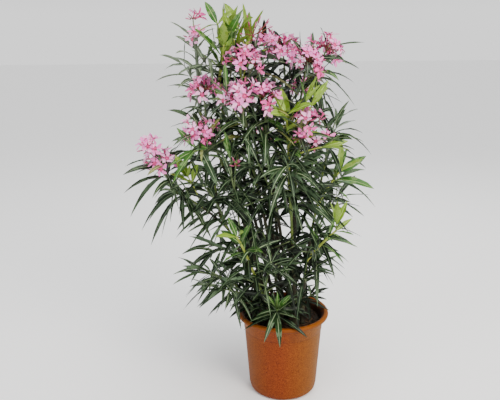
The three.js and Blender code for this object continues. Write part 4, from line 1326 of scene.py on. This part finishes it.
FLOOR_HALF = 40  # metres
floor_mesh = bpy.data.meshes.new("floor")
floor_mesh.from_pydata([(x * FLOOR_HALF, y * FLOOR_HALF, 0)
                        for x, y in [(-1, -1), (1, -1), (1, 1), (-1, 1)]], [], [(0, 1, 2, 3)])
floor_mesh.materials.append(pale_floor())
floor = bpy.data.objects.new("floor", floor_mesh)
bpy.context.scene.collection.objects.link(floor)


def soft_box(name, place, aim, size, power, colour):
    """A square studio light at a place, aimed at a point, in metres and watts."""
    lamp = bpy.data.lights.new(name, "AREA")
    lamp.size = size
    lamp.energy = power
    lamp.color = linear(colour)[:3]
    light = bpy.data.objects.new(name, lamp)
    light.location = place
    light.rotation_euler = (Vector(aim) - Vector(place)).to_track_quat("-Z", "Y").to_euler()
    bpy.context.scene.collection.objects.link(light)


soft_box("key", (1.6, -2.6, 2.6), (-0.1, 0, 0.7), 1.4, 118, "fff6ec")
soft_box("fill", (-2.6, -2.2, 2.0), (-0.1, 0, 0.7), 1.8, 36, "f6f8ff")
soft_box("rim", (0.6, 2.4, 3.0), (-0.1, 0, 0.8), 1.6, 45, "ffffff")

top = bpy.data.lights.new("top", "SUN")
top.energy = 2.4
top.angle = math.radians(50)
top_light = bpy.data.objects.new("top", top)
top_light.rotation_euler = (math.radians(14), math.radians(8), 0)
bpy.context.scene.collection.objects.link(top_light)


def studio_walls():
    """Soft light from all round, brightest low down, where lit walls meet the floor."""
    world = bpy.data.worlds.new("studio_walls")
    world.use_nodes = True
    tree = world.node_tree
    tree.nodes.clear()
    place = add_node(tree, "ShaderNodeTexCoord")
    parts = add_node(tree, "ShaderNodeSeparateXYZ", (), {"Vector": place.outputs["Generated"]})
    glow = add_node(tree, "ShaderNodeMapRange", (), {
        "Value": parts.outputs["Z"], "From Min": 0.05, "From Max": 0.35, "To Min": 1.3,
        "To Max": 0.42})
    light = add_node(tree, "ShaderNodeBackground", (), {
        "Color": (1, 1, 1, 1), "Strength": glow.outputs["Result"]})
    add_node(tree, "ShaderNodeOutputWorld", (), {"Surface": light.outputs["Background"]})
    return world


bpy.context.scene.world = studio_walls()

CAMERA_PLACE = (-0.1053, -1.8209, 1.1266)
CAMERA_DOWN = 14.564  # degrees below the level
CAMERA_ROLL = -0.63  # degrees
camera_data = bpy.data.cameras.new("camera")
camera_data.sensor_width = 36
camera_data.lens = 42.77
camera = bpy.data.objects.new("camera", camera_data)
bpy.context.scene.collection.objects.link(camera)
camera.matrix_world = (Matrix.Translation(CAMERA_PLACE)
                       @ Matrix.Rotation(math.radians(90 - CAMERA_DOWN), 4, "X")
                       @ Matrix.Rotation(math.radians(CAMERA_ROLL), 4, "Z"))
bpy.context.scene.camera = camera
